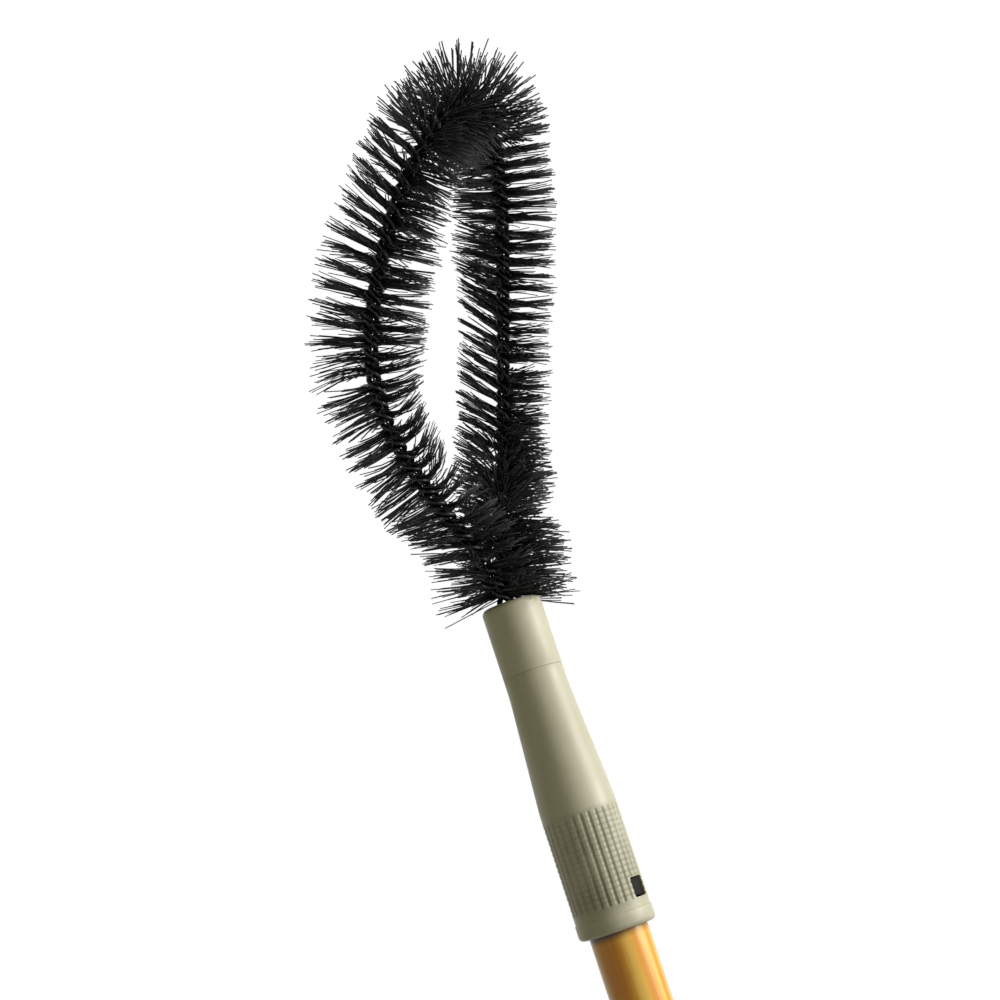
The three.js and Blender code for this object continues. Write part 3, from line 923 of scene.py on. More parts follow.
@dataclass
class BristleFill:
    """Filaments caught between the wires, which fan out in rows along the loop.

    The rows part cleanly as seen from row_focus, the place that the brush was photographed from.
    """

    strand: Strand
    radius: float = 23.0 * MM
    start: float = 2.5 * MM
    bands: int = 12
    filament_width: float = 0.46 * MM
    thinnest: float = 0.85
    thickest: float = 1.1
    per_turn: int = 98
    crowding: Profile = (
        (0.0, 0.84), (0.08, 0.68), (0.21, 0.76), (0.3, 1.08),
        (0.48, 0.9), (0.8, 0.96), (0.88, 1.12), (1.0, 1.14),
    )
    root_depth: float = 1.2 * MM
    row_focus: Place = (-0.861, -0.497, 0.428)
    row_slope_limit: float = 0.8
    row_slope_fade: float = 0.3
    row_pull: float = 0.74
    stray_pull: float = 0.2
    row_wander: float = 0.8 * MM
    row_wander_turn: float = 2.3
    row_curl: float = 9.0 * MM
    curl_step: float = 3.7
    curl_layer: float = 0.5
    clump_spread: float = 1.6 * MM
    clump_turn: float = 2.5
    clump_step: float = 1.3
    loose_clumps: float = 2.0
    shortest: float = 0.89
    longest: float = 1.04
    loose_trim: float = 0.35
    tip_spread: float = 0.6 * MM
    stray_spread: float = 1.6 * MM
    sway: float = 1.0 * MM
    neck_spread: float = 7.0
    neck_share: float = 0.14
    fan_angle: float = 5.0
    shares: tuple[float, ...] = (0.0, 0.34, 0.68, 1.0)
    seed: int = 20
    near_back: Lay = Lay(
        lean=(
            (0.0, 0.0), (0.06, 26.0), (0.11, 38.0), (0.16, 26.0), (0.2, 12.0), (0.25, -4.0),
            (0.44, -8.0), (0.52, 0.0), (0.7, 20.0), (0.78, 22.0), (0.9, 12.0), (1.0, 0.0),
        ),
        reach=(
            (0.0, 1.24), (0.08, 1.18), (0.16, 1.02), (0.38, 1.04), (0.46, 1.14),
            (0.62, 1.14), (0.74, 1.09), (0.88, 1.14), (0.95, 1.18), (1.0, 1.0),
        ),
        order=(
            (0.0, 0.5), (0.1, 0.7), (0.16, 0.82), (0.36, 0.82),
            (0.46, 0.55), (0.7, 0.66), (0.9, 0.66), (0.96, 0.5),
        ),
        stray=((0.1, 0.44), (0.16, 0.34), (0.36, 0.34), (0.46, 0.62), (0.64, 0.62), (0.74, 0.56)),
    )
    near_front: Lay = Lay(
        lean=((0.0, -8.0), (0.18, -8.0), (0.27, -30.0), (0.38, -30.0), (0.48, -5.0), (0.6, 0.0)),
        reach=(
            (0.0, 1.0), (0.24, 0.85), (0.4, 0.9), (0.5, 1.0), (0.68, 1.06),
            (0.77, 1.0), (0.85, 1.02), (0.92, 1.12), (1.0, 1.3),
        ),
        order=((0.0, 0.3), (0.24, 0.7), (0.44, 0.9), (0.56, 1.0), (0.66, 0.6), (0.86, 0.4)),
        hook=((0.17, 0.0), (0.26, 0.75), (0.36, 0.75), (0.46, 0.25), (0.54, 0.0)),
        stray=((0.2, 0.44), (0.27, 0.62), (0.42, 0.62), (0.5, 0.44)),
    )
    far_back: Lay = Lay(
        lean=((0.0, 0.0), (0.16, 10.0), (0.32, 30.0), (0.56, 34.0), (0.66, 15.0), (0.8, 0.0)),
        reach=((0.0, 1.0), (0.6, 1.03), (0.68, 1.03), (0.77, 0.94), (0.85, 0.94), (0.92, 0.95), (1.0, 0.9)),
        order=((0.0, 0.2), (0.24, 0.3), (0.34, 0.9), (0.6, 0.9), (0.68, 0.5), (0.8, 0.8)),
    )
    far_front: Lay = Lay(
        lean=(
            (0.0, -14.0), (0.1, -5.0), (0.15, -8.0), (0.165, -14.0),
            (0.175, 20.0), (0.24, 8.0), (0.32, 0.0),
        ),
        reach=(
            (0.0, 1.2), (0.06, 1.22), (0.15, 1.24), (0.17, 1.0), (0.24, 1.05), (0.34, 0.9),
            (0.42, 0.94), (0.5, 0.94), (0.62, 1.02), (0.86, 1.04), (0.93, 1.2), (1.0, 1.3),
        ),
        order=(
            (0.0, 0.4), (0.14, 0.7), (0.2, 0.7), (0.27, 0.58),
            (0.46, 0.62), (0.6, 0.95), (0.9, 1.0), (0.98, 0.5),
        ),
    )

    def build(self) -> list[Object]:
        """Build one piece for each length of the loop."""
        return [self.band(index) for index in range(self.bands)]

    def band(self, index: int) -> Object:
        """Build the filaments of one length of the loop.

        Args:
            index: Place of the length, from the first stem.

        Returns:
            The piece.
        """
        foot = self.strand.stem_length + self.start
        span = (self.strand.length - 2.0 * foot) / self.bands
        crowding = read_table(self.crowding, (index + 0.5) / self.bands)
        count = round(span / self.strand.pitch * self.per_turn * crowding)
        filaments = self.filaments(foot + index * span, span, count, random.Random(self.seed + index))
        mesh = bmesh.new()
        bmesh.ops.create_grid(mesh, x_segments=len(filaments), y_segments=1, size=1.0)
        bmesh.ops.split_edges(mesh, edges=mesh.edges[:])
        owner = mesh.verts.layers.int.new("owner")
        corner = mesh.verts.layers.int.new("corner")
        for number, face in enumerate(mesh.faces):
            for place, vertex in enumerate(face.verts):
                vertex[owner] = number
                vertex[corner] = place
        ring = mesh.verts[:]
        cap = mesh.faces[:]
        for share in self.shares:
            if share > 0.0:
                ring, cap = grow(mesh, cap)
            sections = [filament.ring(share) for filament in filaments]
            for vertex in ring:
                centre, flat, across = sections[vertex[owner]]
                sign_flat = 1.0 if vertex[corner] in (0, 3) else -1.0
                sign_across = 1.0 if vertex[corner] in (0, 1) else -1.0
                vertex.co = centre + flat * sign_flat + across * sign_across
        bmesh.ops.recalc_face_normals(mesh, faces=mesh.faces)
        return to_piece(f"bristle_fill_{index + 1:02d}", mesh, ShadeBelow.FILAMENT)

    def filaments(self, foot: float, span: float, count: int, chance: random.Random) -> list[Filament]:
        """Set out the filaments of one length of the loop.

        Args:
            foot: Where the length starts on the strand.
            span: How long it is.
            count: Filaments on each arm of the spiral.
            chance: Seeded random numbers.

        Returns:
            The filaments of both arms of the spiral.
        """
        made: list[Filament] = []
        for arm in (0.0, math.pi):
            for number in range(count):
                along = foot + span * (number + chance.random()) / count
                made.append(self.filament(along, arm, chance))
        return made

    def filament(self, along: float, arm: float, chance: random.Random) -> Filament:
        """Set out one filament.

        Args:
            along: Where it leaves the strand.
            arm: Angle of its arm of the spiral.
            chance: Seeded random numbers.

        Returns:
            The filament.
        """
        spot = self.strand.at(along)
        angle = self.strand.twist(along) + arm
        level = (Vector(self.row_focus) - spot.point).normalized()
        lateral = spot.forward.cross(level).normalized()
        out = spot.outward(angle + math.radians(chance.gauss(0.0, self.fan_angle)))
        aside = out.dot(lateral)
        row = self.row_place(along, angle, spot, level)
        share = self.share_of(row)
        rising = along < self.strand.length / 2.0
        lay = self.lay_at(rising, aside * lateral.y > 0.0)
        order = read_table(lay.order, share)
        slope = spot.forward.dot(level)
        hold = min(max((self.row_slope_limit - abs(slope)) / self.row_slope_fade, 0.0), 1.0)
        square = (spot.forward - level * slope).normalized()
        out = (out - square * out.dot(square) * hold * order).normalized()
        loose = max(0.0, 1.0 - share / self.neck_share)
        lean = math.radians(read_table(lay.lean, share) + chance.gauss(0.0, self.neck_spread) * loose)
        towards_tip = spot.forward if rising else -spot.forward
        way = (out + towards_tip * math.tan(lean) * abs(aside)).normalized()
        step = self.strand.pitch / 2.0
        number = round(row / step)
        strays = chance.random() < read_table(lay.stray, share)
        shift = (row - along) * (self.stray_pull if strays else self.row_pull) * order
        shift += self.row_wander * hold * math.sin(row / step * self.row_wander_turn)
        clump = self.clump_spread * (1.0 + self.loose_clumps * (1.0 - order))
        shift += noise.noise((angle * self.clump_turn, number * self.clump_step, arm)) * clump
        shift += chance.gauss(0.0, self.stray_spread if strays else self.tip_spread)
        curl = noise.noise((number * self.curl_step, arm, self.curl_layer)) * self.row_curl
        sway = spot.outward(angle + 0.5 * math.pi) * chance.gauss(0.0, self.sway)
        trim = chance.uniform(self.shortest - self.loose_trim * (1.0 - order), self.longest)
        length = self.radius * read_table(lay.reach, share) * trim
        hook = towards_tip * length * abs(aside) * read_table(lay.hook, share)
        return Filament(
            root=spot.point - out * self.root_depth,
            reach=way * length + out * self.root_depth + spot.forward * (shift - curl),
            bend=sway + spot.forward * curl + hook,
            flat=spot.forward,
            width=self.filament_width * chance.uniform(self.thinnest, self.thickest),
        )

    def row_place(self, along: float, angle: float, spot: StrandPoint, level: Vector) -> float:
        """Find the middle of the row that a filament belongs to.

        Args:
            along: Where the filament leaves the strand.
            angle: Its direction about the strand.
            spot: Place on the strand.
            level: Direction in which the rows part.

        Returns:
            The distance along the strand.
        """
        parting = math.atan2(level.dot(spot.side), level.dot(spot.across))
        turn = ((angle - parting) / math.pi) % 1.0
        return along + (turn - 0.5) * self.strand.pitch / 2.0

    def share_of(self, along: float) -> float:
        """Give the share of the way from the neck to the loop's tip."""
        half = self.strand.length / 2.0
        return (half - abs(along - half) - self.strand.stem_length) / (half - self.strand.stem_length)

    def lay_at(self, rising: bool, backwards: bool) -> Lay:
        """Pick the lay of a bristle by its side of the loop and the way that it points.

        Args:
            rising: Whether it stands on the side of the loop that rises from the first stem.
            backwards: Whether it points to the back.

        Returns:
            The lay.
        """
        if rising:
            return self.near_back if backwards else self.near_front
        return self.far_back if backwards else self.far_front

    def dress(self, pieces: Sequence[Object], finishes: Finishes) -> None:
        """Finish every length and set it in the frame."""
        for index, piece in enumerate(pieces):
            hand_over(piece, finishes, Body.HANDLE, Slot.BRISTLE, f"bristle_band_{index + 1:02d}")


# Ferrule, neck cap and crimp sleeve


@dataclass
class Socket:
    """Moulded ferrule that takes the pole, with the cap and sleeve that hold the loop's stems."""

    strand: Strand
    mouth: float = 390.0 * MM
    rim_top: float = 396.8 * MM
    bore_straight: float = 400.0 * MM
    grip_top: float = 443.4 * MM
    bore_top: float = 482.0 * MM
    cone_top: float = 493.4 * MM
    top: float = 502.0 * MM
    bore: float = 13.0 * MM
    bore_neck: float = 9.7 * MM
    rim: float = 16.5 * MM
    grip: float = 16.1 * MM
    neck: float = 12.8 * MM
    mouth_round: float = 2.0 * MM
    bore_round: float = 1.2 * MM
    rim_round: float = 0.3 * MM
    cone_round: float = 3.0 * MM
    seam_round: float = 0.15 * MM
    flutes: int = 30
    columns_per_flute: int = 12
    flute_depth: float = 0.35 * MM
    flute_radius: float = 1.3 * MM
    flute_margin: float = 3.0 * MM
    flute_end_shares: tuple[float, ...] = (0.0, 0.15, 0.35, 0.6, 0.85, 1.1)
    groove_pitch: float = 2.4 * MM
    groove_half: float = 0.5 * MM
    groove_depth: float = 0.2 * MM
    # Painted shade, partly dirt: a share all over the grip, full at the flutes' bottoms.
    grip_shade_and_grime: float = 0.4
    # Painted shade on the rim's lower edge by height, darkest at the mouth.
    rim_shade: Profile = ((390.0 * MM, 0.8), (392.0 * MM, 0.3), (396.0 * MM, 0.0))
    window_width: float = 9.0 * MM
    window_foot: float = 400.6 * MM
    window_top: float = 409.0 * MM
    window_back: float = 10.0 * MM
    window_depth: float = 16.0 * MM
    window_round: float = 1.0 * MM
    spigot_foot: float = 488.0 * MM
    spigot_fit: float = 0.3 * MM
    spigot_round: float = 0.8 * MM
    cap_seat: float = 502.06 * MM
    cap_round: float = 2.5 * MM
    cap_sides: int = 120
    stem_hole: float = 3.5 * MM
    stem_hole_sides: int = 40
    stem_hole_spare: float = 2.0 * MM
    sleeve_foot: float = 476.7 * MM
    sleeve_length: float = 11.0 * MM
    sleeve_wall: float = 1.1 * MM
    sleeve_sides: int = 48
    sleeve_rows: int = 12
    crimps: int = 2
    crimp_depth: float = 0.18
    crimp_width: float = 2.5 * MM

    def build(self) -> list[Object]:
        """Build the ferrule, the cap and the sleeve."""
        return [self.ferrule(), self.cap(), self.sleeve()]

    def ferrule(self) -> Object:
        """Turn the ferrule, press its flutes and cut its window.

        Returns:
            The finished piece.
        """
        mesh = turned(
            (
                (self.bore, self.mouth, self.bore_round, 4),
                (self.rim, self.mouth, self.mouth_round, 6),
                (self.rim, self.rim_top, self.rim_round, 3),
                (self.grip, self.rim_top),
                (self.grip, self.grip_top, self.cone_round, 4),
                (self.neck, self.cone_top, self.cone_round, 4),
                (self.neck, self.top, self.seam_round, 2),
                (self.bore_neck, self.top),
                (self.bore_neck, self.bore_top),
                (self.bore, self.bore_straight),
            ),
            self.flutes * self.columns_per_flute,
            closed=True,
        )
        foot = self.rim_top + self.flute_margin
        head = self.grip_top - self.flute_margin
        ends = [self.flute_radius * share for share in self.flute_end_shares]
        heights = [foot + end for end in ends] + [head - end for end in ends]
        for groove in self.grooves(foot, head):
            heights += [groove - self.groove_half, groove, groove + self.groove_half]
        cut_rings(mesh, self.grip, heights)
        self.press_grip(mesh, foot, head)
        self.shade_rim(mesh)
        return to_piece("ferrule_shell", mesh, ShadeBelow.TURNED, self.window())

    def window(self) -> BMesh:
        """Make the round-cornered block that cuts the window.

        Returns:
            The closed cutter.
        """
        size = (self.window_width, self.window_depth, self.window_top - self.window_foot)
        middle = (self.window_foot + self.window_top) / 2.0
        mesh = block(size, (0.0, -self.window_back - self.window_depth / 2.0, middle))
        corners = [edge for edge in mesh.edges if abs(edge.verts[0].co.y - edge.verts[1].co.y) > TOUCH]
        soften(mesh, corners, self.window_round, 4)
        return mesh

    def grooves(self, foot: float, head: float) -> list[float]:
        """Give the heights of the fine grooves round the grip, between the flutes' ends.

        Args:
            foot: Height of the flutes' lower ends.
            head: Height of their upper ends.

        Returns:
            The heights, upwards.
        """
        low = foot + 2.0 * self.flute_radius
        high = head - 2.0 * self.flute_radius
        count = round((high - low) / self.groove_pitch)
        return [low + (high - low) * index / count for index in range(count + 1)]

    def press_grip(self, mesh: BMesh, foot: float, head: float) -> None:
        """Press round-ended flutes and fine ring grooves into the grip, and paint shade into it, deepest in
        the flutes.

        Args:
            mesh: Mesh of the ferrule.
            foot: Height of the flutes' lower ends.
            head: Height of their upper ends.
        """
        step = 2.0 * math.pi / self.flutes
        centre = self.flute_radius - self.flute_depth
        rings = self.grooves(foot, head)
        shade_and_grime = mesh.verts.layers.float.new(SHADE_AND_GRIME)
        for vertex in mesh.verts:
            radius = vertex.co.xy.length
            if abs(radius - self.grip) > TOUCH or not foot <= vertex.co.z <= head:
                continue
            angle = math.atan2(vertex.co.y, vertex.co.x) / step
            aside = (angle - math.floor(angle) - 0.5) * step * self.grip
            beyond = max(foot + self.flute_radius - vertex.co.z, vertex.co.z - head + self.flute_radius, 0.0)
            left = self.flute_radius**2 - aside**2 - beyond**2
            depth = math.sqrt(left) - centre if left > centre**2 else 0.0
            if min(abs(vertex.co.z - ring) for ring in rings) < TOUCH:
                depth += self.groove_depth
            vertex.co.xy *= (radius - depth) / radius
            # Painted shade, partly dirt, deepest in the flutes.
            vertex[shade_and_grime] = self.grip_shade_and_grime + (1.0 - self.grip_shade_and_grime) * min(depth / self.flute_depth, 1.0)

    def shade_rim(self, mesh: BMesh) -> None:
        """Paint shade on the rim's lower edge, where it meets the pole.

        Args:
            mesh: Mesh of the ferrule.
        """
        shade_and_grime = mesh.verts.layers.float[SHADE_AND_GRIME]
        for vertex in mesh.verts:
            if vertex.co.z < self.rim_top:
                # Painted shade, darkest at the mouth.
                vertex[shade_and_grime] = read_table(self.rim_shade, vertex.co.z)

    def cap(self) -> Object:
        """Turn the neck cap and bore it for the two stems.

        Returns:
            The finished piece.
        """
        top = self.strand.neck_height
        spigot = self.bore_neck - self.spigot_fit
        mesh = turned(
            (
                (0.0, self.spigot_foot),
                (spigot, self.spigot_foot, self.spigot_round, 2),
                (spigot, self.cap_seat),
                (self.neck, self.cap_seat, self.seam_round, 2),
                (self.neck, top, self.cap_round, 6),
                (0.0, top),
            ),
            self.cap_sides,
        )
        length = top - self.spigot_foot + self.stem_hole_spare
        middle = (top + self.spigot_foot) / 2.0
        bores = [
            rod(self.stem_hole, length, Matrix.Translation((x, 0.0, middle)), self.stem_hole_sides)
            for x in (-self.strand.stem_x, self.strand.stem_x)
        ]
        return to_piece("neck_cap_shell", mesh, ShadeBelow.TURNED, *bores)

    def sleeve(self) -> Object:
        """Draw the oval sleeve that is crimped round both stems.

        Returns:
            The finished piece.
        """
        mesh = bmesh.new()
        bmesh.ops.create_circle(mesh, cap_ends=False, segments=self.sleeve_sides, radius=self.stem_hole)
        for vertex in mesh.verts:
            side = math.copysign(1.0, vertex.co.x) if abs(vertex.co.x) > TOUCH else 0.0
            vertex.co.x += side * self.strand.stem_x
            vertex.co.z = self.sleeve_foot
        rim = mesh.edges[:]
        for _ in range(self.sleeve_rows):
            grown = bmesh.ops.extrude_edge_only(mesh, edges=rim)["geom"]
            ring = [item for item in grown if isinstance(item, BMVert)]
            rim = [item for item in grown if isinstance(item, BMEdge)]
            bmesh.ops.translate(mesh, vec=(0.0, 0.0, self.sleeve_length / self.sleeve_rows), verts=ring)
        bmesh.ops.recalc_face_normals(mesh, faces=mesh.faces)
        bmesh.ops.solidify(mesh, geom=mesh.faces[:], thickness=-self.sleeve_wall)
        bmesh.ops.recalc_face_normals(mesh, faces=mesh.faces)
        self.crimp(mesh)
        return to_piece("crimp_sleeve_shell", mesh, ShadeBelow.MOULDED)

    def crimp(self, mesh: BMesh) -> None:
        """Press the crimps across the sleeve's flat sides.

        Args:
            mesh: Mesh of the sleeve.
        """
        for vertex in mesh.verts:
            share = (vertex.co.z - self.sleeve_foot) / self.sleeve_length
            dent = max(-math.cos((share - 0.5) * 2.0 * math.pi * self.crimps), 0.0) ** 2
            flat = math.exp(-((vertex.co.x / self.crimp_width) ** 2))
            vertex.co.y *= 1.0 - self.crimp_depth * dent * flat

    def dress(self, pieces: Sequence[Object], finishes: Finishes) -> None:
        """Finish the three pieces and set them in the frame.

        Args:
            pieces: Pieces in the order that build gives them.
            finishes: Material of each slot.
        """
        ferrule, cap, sleeve = pieces
        hand_over(ferrule, finishes, Body.HANDLE, Slot.BEIGE, "ferrule")
        hand_over(cap, finishes, Body.HANDLE, Slot.BEIGE, "neck_cap")
        hand_over(sleeve, finishes, Body.HANDLE, Slot.ZINC, "crimp_sleeve")


# Pole, locking cone, tongue and fasteners


@dataclass
class Pole:
    """Wooden pole with the moulded locking cone that is pinned to its tenon."""

    radius: float = 12.5 * MM
    butt_round: float = 4.0 * MM
    shoulder: float = 394.0 * MM
    tenon: float = 5.0 * MM
    tenon_top: float = 448.0 * MM
    cone_foot: float = 394.3 * MM
    cone_straight: float = 400.0 * MM
    cone_top: float = 464.3 * MM
    cone_radius: float = 12.65 * MM
    bore_taper: float = 3.3 / 82.0
    chamfer: float = 1.5 * MM
    socket_top: float = 448.3 * MM
    pin_height: float = 420.06 * MM
    pin_radius: float = 1.25 * MM
    groove_width: float = 8.4 * MM
    groove_foot: float = 400.6 * MM
    groove_top: float = 444.1 * MM
    groove_low: float = 6.16 * MM
    groove_high: float = 7.9 * MM
    screw_height: float = 439.8 * MM
    fit: float = 0.3 * MM
    # Painted shadow ring on the pole just under the ferrule's mouth.
    mouth_shadow: Profile = ((386.4 * MM, 0.0), (388.4 * MM, 1.0), (390.4 * MM, 2.2), (393.0 * MM, 0.0))
    end_round: float = 0.6 * MM
    cone_foot_round: float = 0.5 * MM
    cone_belt_round: float = 0.8 * MM
    cone_top_round: float = 0.4 * MM
    pin_round: float = 0.4 * MM
    pin_bore_length: float = 50.0 * MM
    groove_front: float = 20.0 * MM
    pilot_radius: float = 1.5 * MM
    pilot_length: float = 12.0 * MM
    pilot_front: float = 7.9 * MM
    sides: int = 96
    cone_sides: int = 120
    pin_sides: int = 32
    bore_sides: int = 24

    def build(self) -> list[Object]:
        """Build the pole, its cone and the pin."""
        return [self.timber(), self.cone(), self.pin()]

    def across(self) -> Matrix:
        """Place a rod along X at the pin's height."""
        return Matrix.Translation((0.0, 0.0, self.pin_height)) @ Matrix.Rotation(0.5 * math.pi, 4, "Y")

    def bores(self) -> list[BMesh]:
        """Make the cutters for the cross pin and for the screw's pilot hole.

        Returns:
            The closed cutters.
        """
        pin = rod(self.pin_radius + self.fit, self.pin_bore_length, self.across(), self.bore_sides)
        pilot_place = facing_front(self.screw_height, self.pilot_front)
        return [pin, rod(self.pilot_radius, self.pilot_length, pilot_place, self.bore_sides)]

    def timber(self) -> Object:
        """Turn the pole, with its rounded butt and its tenon, and paint a shadow ring just under the
        ferrule's mouth.

        Returns:
            The finished piece.
        """
        mesh = turned(
            (
                (0.0, 0.0),
                (self.radius, 0.0, self.butt_round, 8),
                (self.radius, self.shoulder, self.end_round, 3),
                (self.tenon, self.shoulder),
                (self.tenon, self.tenon_top, self.end_round, 2),
                (0.0, self.tenon_top),
            ),
            self.sides,
        )
        # Rings that carry the painted shadow under the ferrule's mouth.
        cut_rings(mesh, self.radius, [height for height, _ in self.mouth_shadow])
        shade_and_grime = mesh.verts.layers.float.new(SHADE_AND_GRIME)
        for vertex in mesh.verts:
            vertex[shade_and_grime] = read_table(self.mouth_shadow, vertex.co.z)
        return to_piece("pole_timber", mesh, ShadeBelow.TURNED, *self.bores())

    def cone(self) -> Object:
        """Turn the locking cone and cut the groove that its tongue lies in.

        Returns:
            The finished piece.
        """
        bore = self.tenon + self.fit
        shoulder = self.cone_top - self.chamfer
        narrow = self.cone_radius - (shoulder - self.cone_straight) * self.bore_taper
        mesh = turned(
            (
                (bore, self.cone_foot),
                (self.cone_radius, self.cone_foot, self.cone_foot_round, 3),
                (self.cone_radius, self.cone_straight, self.cone_belt_round, 3),
                (narrow, shoulder, self.cone_top_round, 2),
                (narrow - self.chamfer, self.cone_top),
                (0.0, self.cone_top),
                (0.0, self.socket_top),
                (bore, self.socket_top),
                (bore, self.cone_foot),
            ),
            self.cone_sides,
        )
        groove = front_prism(
            (
                (self.groove_low, self.groove_foot),
                (self.groove_front, self.groove_foot),
                (self.groove_front, self.groove_top),
                (self.groove_high, self.groove_top),
            ),
            self.groove_width,
        )
        return to_piece("locking_cone", mesh, ShadeBelow.TURNED, groove, *self.bores())

    def pin(self) -> Object:
        """Turn the cross pin, with its rounded ends.

        Returns:
            The finished piece.
        """
        narrow = self.cone_radius - (self.pin_height - self.cone_straight) * self.bore_taper
        mesh = rod(self.pin_radius, 2.0 * (narrow - self.fit), self.across(), self.pin_sides)
        ends = [edge for edge in mesh.edges if abs(edge.verts[0].co.x - edge.verts[1].co.x) < TOUCH]
        soften(mesh, ends, self.pin_round, 3)
        return to_piece("cross_pin", mesh, ShadeBelow.TURNED)

    def dress(self, pieces: Sequence[Object], finishes: Finishes) -> None:
        """Finish the three pieces and set them in the frame.

        Args:
            pieces: Pieces in the order that build gives them.
            finishes: Material of each slot.
        """
        timber, cone, pin = pieces
        hand_over(timber, finishes, Body.POLE, Slot.WOOD, "wooden_pole")
        hand_over(cone, finishes, Body.POLE, Slot.BLACK, "pole_tip")
        hand_over(pin, finishes, Body.POLE, Slot.ZINC, "tip_pin")


@dataclass
class Lock:
    """Springy tongue whose button stands in the ferrule's window, and the screw that holds it."""

    pole: Pole
    width: float = 7.8 * MM
    thickness: float = 1.8 * MM
    edge_round: float = 0.35 * MM
    sharp_from: float = 30.0
    button_foot: float = 401.2 * MM
    button_top: float = 408.4 * MM
    button_front: float = 14.9 * MM
    foot_front: float = 11.77 * MM
    button_root_front: float = 11.47 * MM
    top: float = 443.8 * MM
    top_front: float = 9.92 * MM
    screw_front: float = 9.84 * MM
    screw_head: float = 2.2 * MM
    screw_head_rim: float = 0.3 * MM
    screw_shank: float = 1.2 * MM
    screw_length: float = 8.5 * MM
    screw_tip: float = 1.0 * MM
    screw_tip_share: float = 0.55
    screw_headroom: float = 0.6 * MM
    screw_sides: int = 32
    recess_width: float = 2.6 * MM
    recess_depth: float = 1.8 * MM
    recess_blade: float = 0.6 * MM

    def build(self) -> list[Object]:
        """Build the tongue and its screw."""
        return [self.tongue(), self.screw()]

    def tongue(self) -> Object:
        """Extrude the tongue with its button, and sink the screw's hole.

        Returns:
            The finished piece.
        """
        mesh = front_prism(
            (
                (self.foot_front - self.thickness, self.button_foot),
                (self.button_front, self.button_foot),
                (self.button_front, self.button_top),
                (self.button_root_front, self.button_top),
                (self.top_front, self.top),
                (self.top_front - self.thickness, self.top),
                (self.button_root_front - self.thickness, self.button_top),
            ),
            self.width,
        )
        limit = math.radians(self.sharp_from)
        soften(mesh, [edge for edge in mesh.edges if edge.calc_face_angle(0.0) > limit], self.edge_round, 3)
        hole = self.screw_shape(self.pole.fit, self.screw_headroom)
        return to_piece("tongue_arm", mesh, ShadeBelow.MOULDED, hole)

    def screw_shape(self, clearance: float, headroom: float) -> BMesh:
        """Turn the countersunk screw, or its hole.

        Args:
            clearance: Added all round.
            headroom: Added in front of the head.

        Returns:
            The closed shape.
        """
        head = self.screw_head + clearance
        shank = self.screw_shank + clearance
        rim = self.screw_front - self.screw_head_rim
        end = self.screw_front - self.screw_length - clearance
        mesh = turned(
            (
                (0.0, end),
                (shank * self.screw_tip_share, end),
                (shank, end + self.screw_tip),
                (shank, rim - (self.screw_head - self.screw_shank)),
                (head, rim),
                (head, self.screw_front + headroom),
                (0.0, self.screw_front + headroom),
            ),
            self.screw_sides,
        )
        bmesh.ops.transform(mesh, matrix=facing_front(self.pole.screw_height), verts=mesh.verts)
        return mesh

    def screw(self) -> Object:
        """Turn the screw and cut the cross recess in its head.

        Returns:
            The finished piece.
        """
        mesh = self.screw_shape(0.0, 0.0)
        centre = (0.0, -self.screw_front, self.pole.screw_height)
        level = block((self.recess_width, self.recess_depth, self.recess_blade), centre)
        upright = block((self.recess_blade, self.recess_depth, self.recess_width), centre)
        return to_piece("tongue_fixing_screw", mesh, ShadeBelow.TURNED, level, upright)

    def dress(self, pieces: Sequence[Object], finishes: Finishes) -> None:
        """Finish the two pieces and set them in the frame.

        Args:
            pieces: Pieces in the order that build gives them.
            finishes: Material of each slot.
        """
        tongue, screw = pieces
        hand_over(tongue, finishes, Body.TONGUE, Slot.BLACK, "lock_tongue")
        hand_over(screw, finishes, Body.POLE, Slot.ZINC, "tongue_screw")


# Studio


@dataclass
class PhotoCamera:
    """Camera low on the loop's side, rolled so that the pole leans, as it was photographed."""

    azimuth: float = -60.0
    elevation: float = -6.0
    roll: float = 18.3
    distance: float = 1.0
    picture_width: float = 0.42
    pixels: float = 1000.0
    sensor_width: float = 36.0
    clip_start: float = 0.01
    target: Place = (0.0, 0.0, 0.5323)
    target_pixel: tuple[float, float] = (510.0, 603.0)
    back: Vector = field(init=False)
    right: Vector = field(init=False)
    up: Vector = field(init=False)

    def __post_init__(self) -> None:
        """Work out the camera's own directions."""
        turn, rise, roll = (math.radians(value) for value in (self.azimuth, self.elevation, self.roll))
        level = Vector((math.cos(turn), math.sin(turn), 0.0))
        away = Vector((math.sin(turn), -math.cos(turn), 0.0))
        self.back = away * math.cos(rise) + Vector((0.0, 0.0, math.sin(rise)))
        plumb = self.back.cross(level)
        self.right = level * math.cos(roll) - plumb * math.sin(roll)
        self.up = level * math.sin(roll) + plumb * math.cos(roll)

    def build(self) -> None:
        """Place the camera."""
        step = self.picture_width / self.pixels
        target = Vector(self.target)
        aside = (self.pixels / 2.0 - self.target_pixel[0]) * step
        above = (self.target_pixel[1] - self.pixels / 2.0) * step
        stand = target + self.back * self.distance
        away = (stand - target - self.right * aside - self.up * above).normalized()
        right = self.up.cross(away).normalized()
        turn = Matrix((right, away.cross(right), away)).transposed()
        data = bpy.data.cameras.new("photo_camera")
        data.sensor_width = self.sensor_width
        data.lens = self.sensor_width * self.distance / self.picture_width
        data.clip_start = self.clip_start
        camera = bpy.data.objects.new("photo_camera", data)
        camera.matrix_world = Matrix.Translation(stand) @ turn.to_4x4()
        bpy.context.scene.collection.objects.link(camera)
        bpy.context.scene.camera = camera


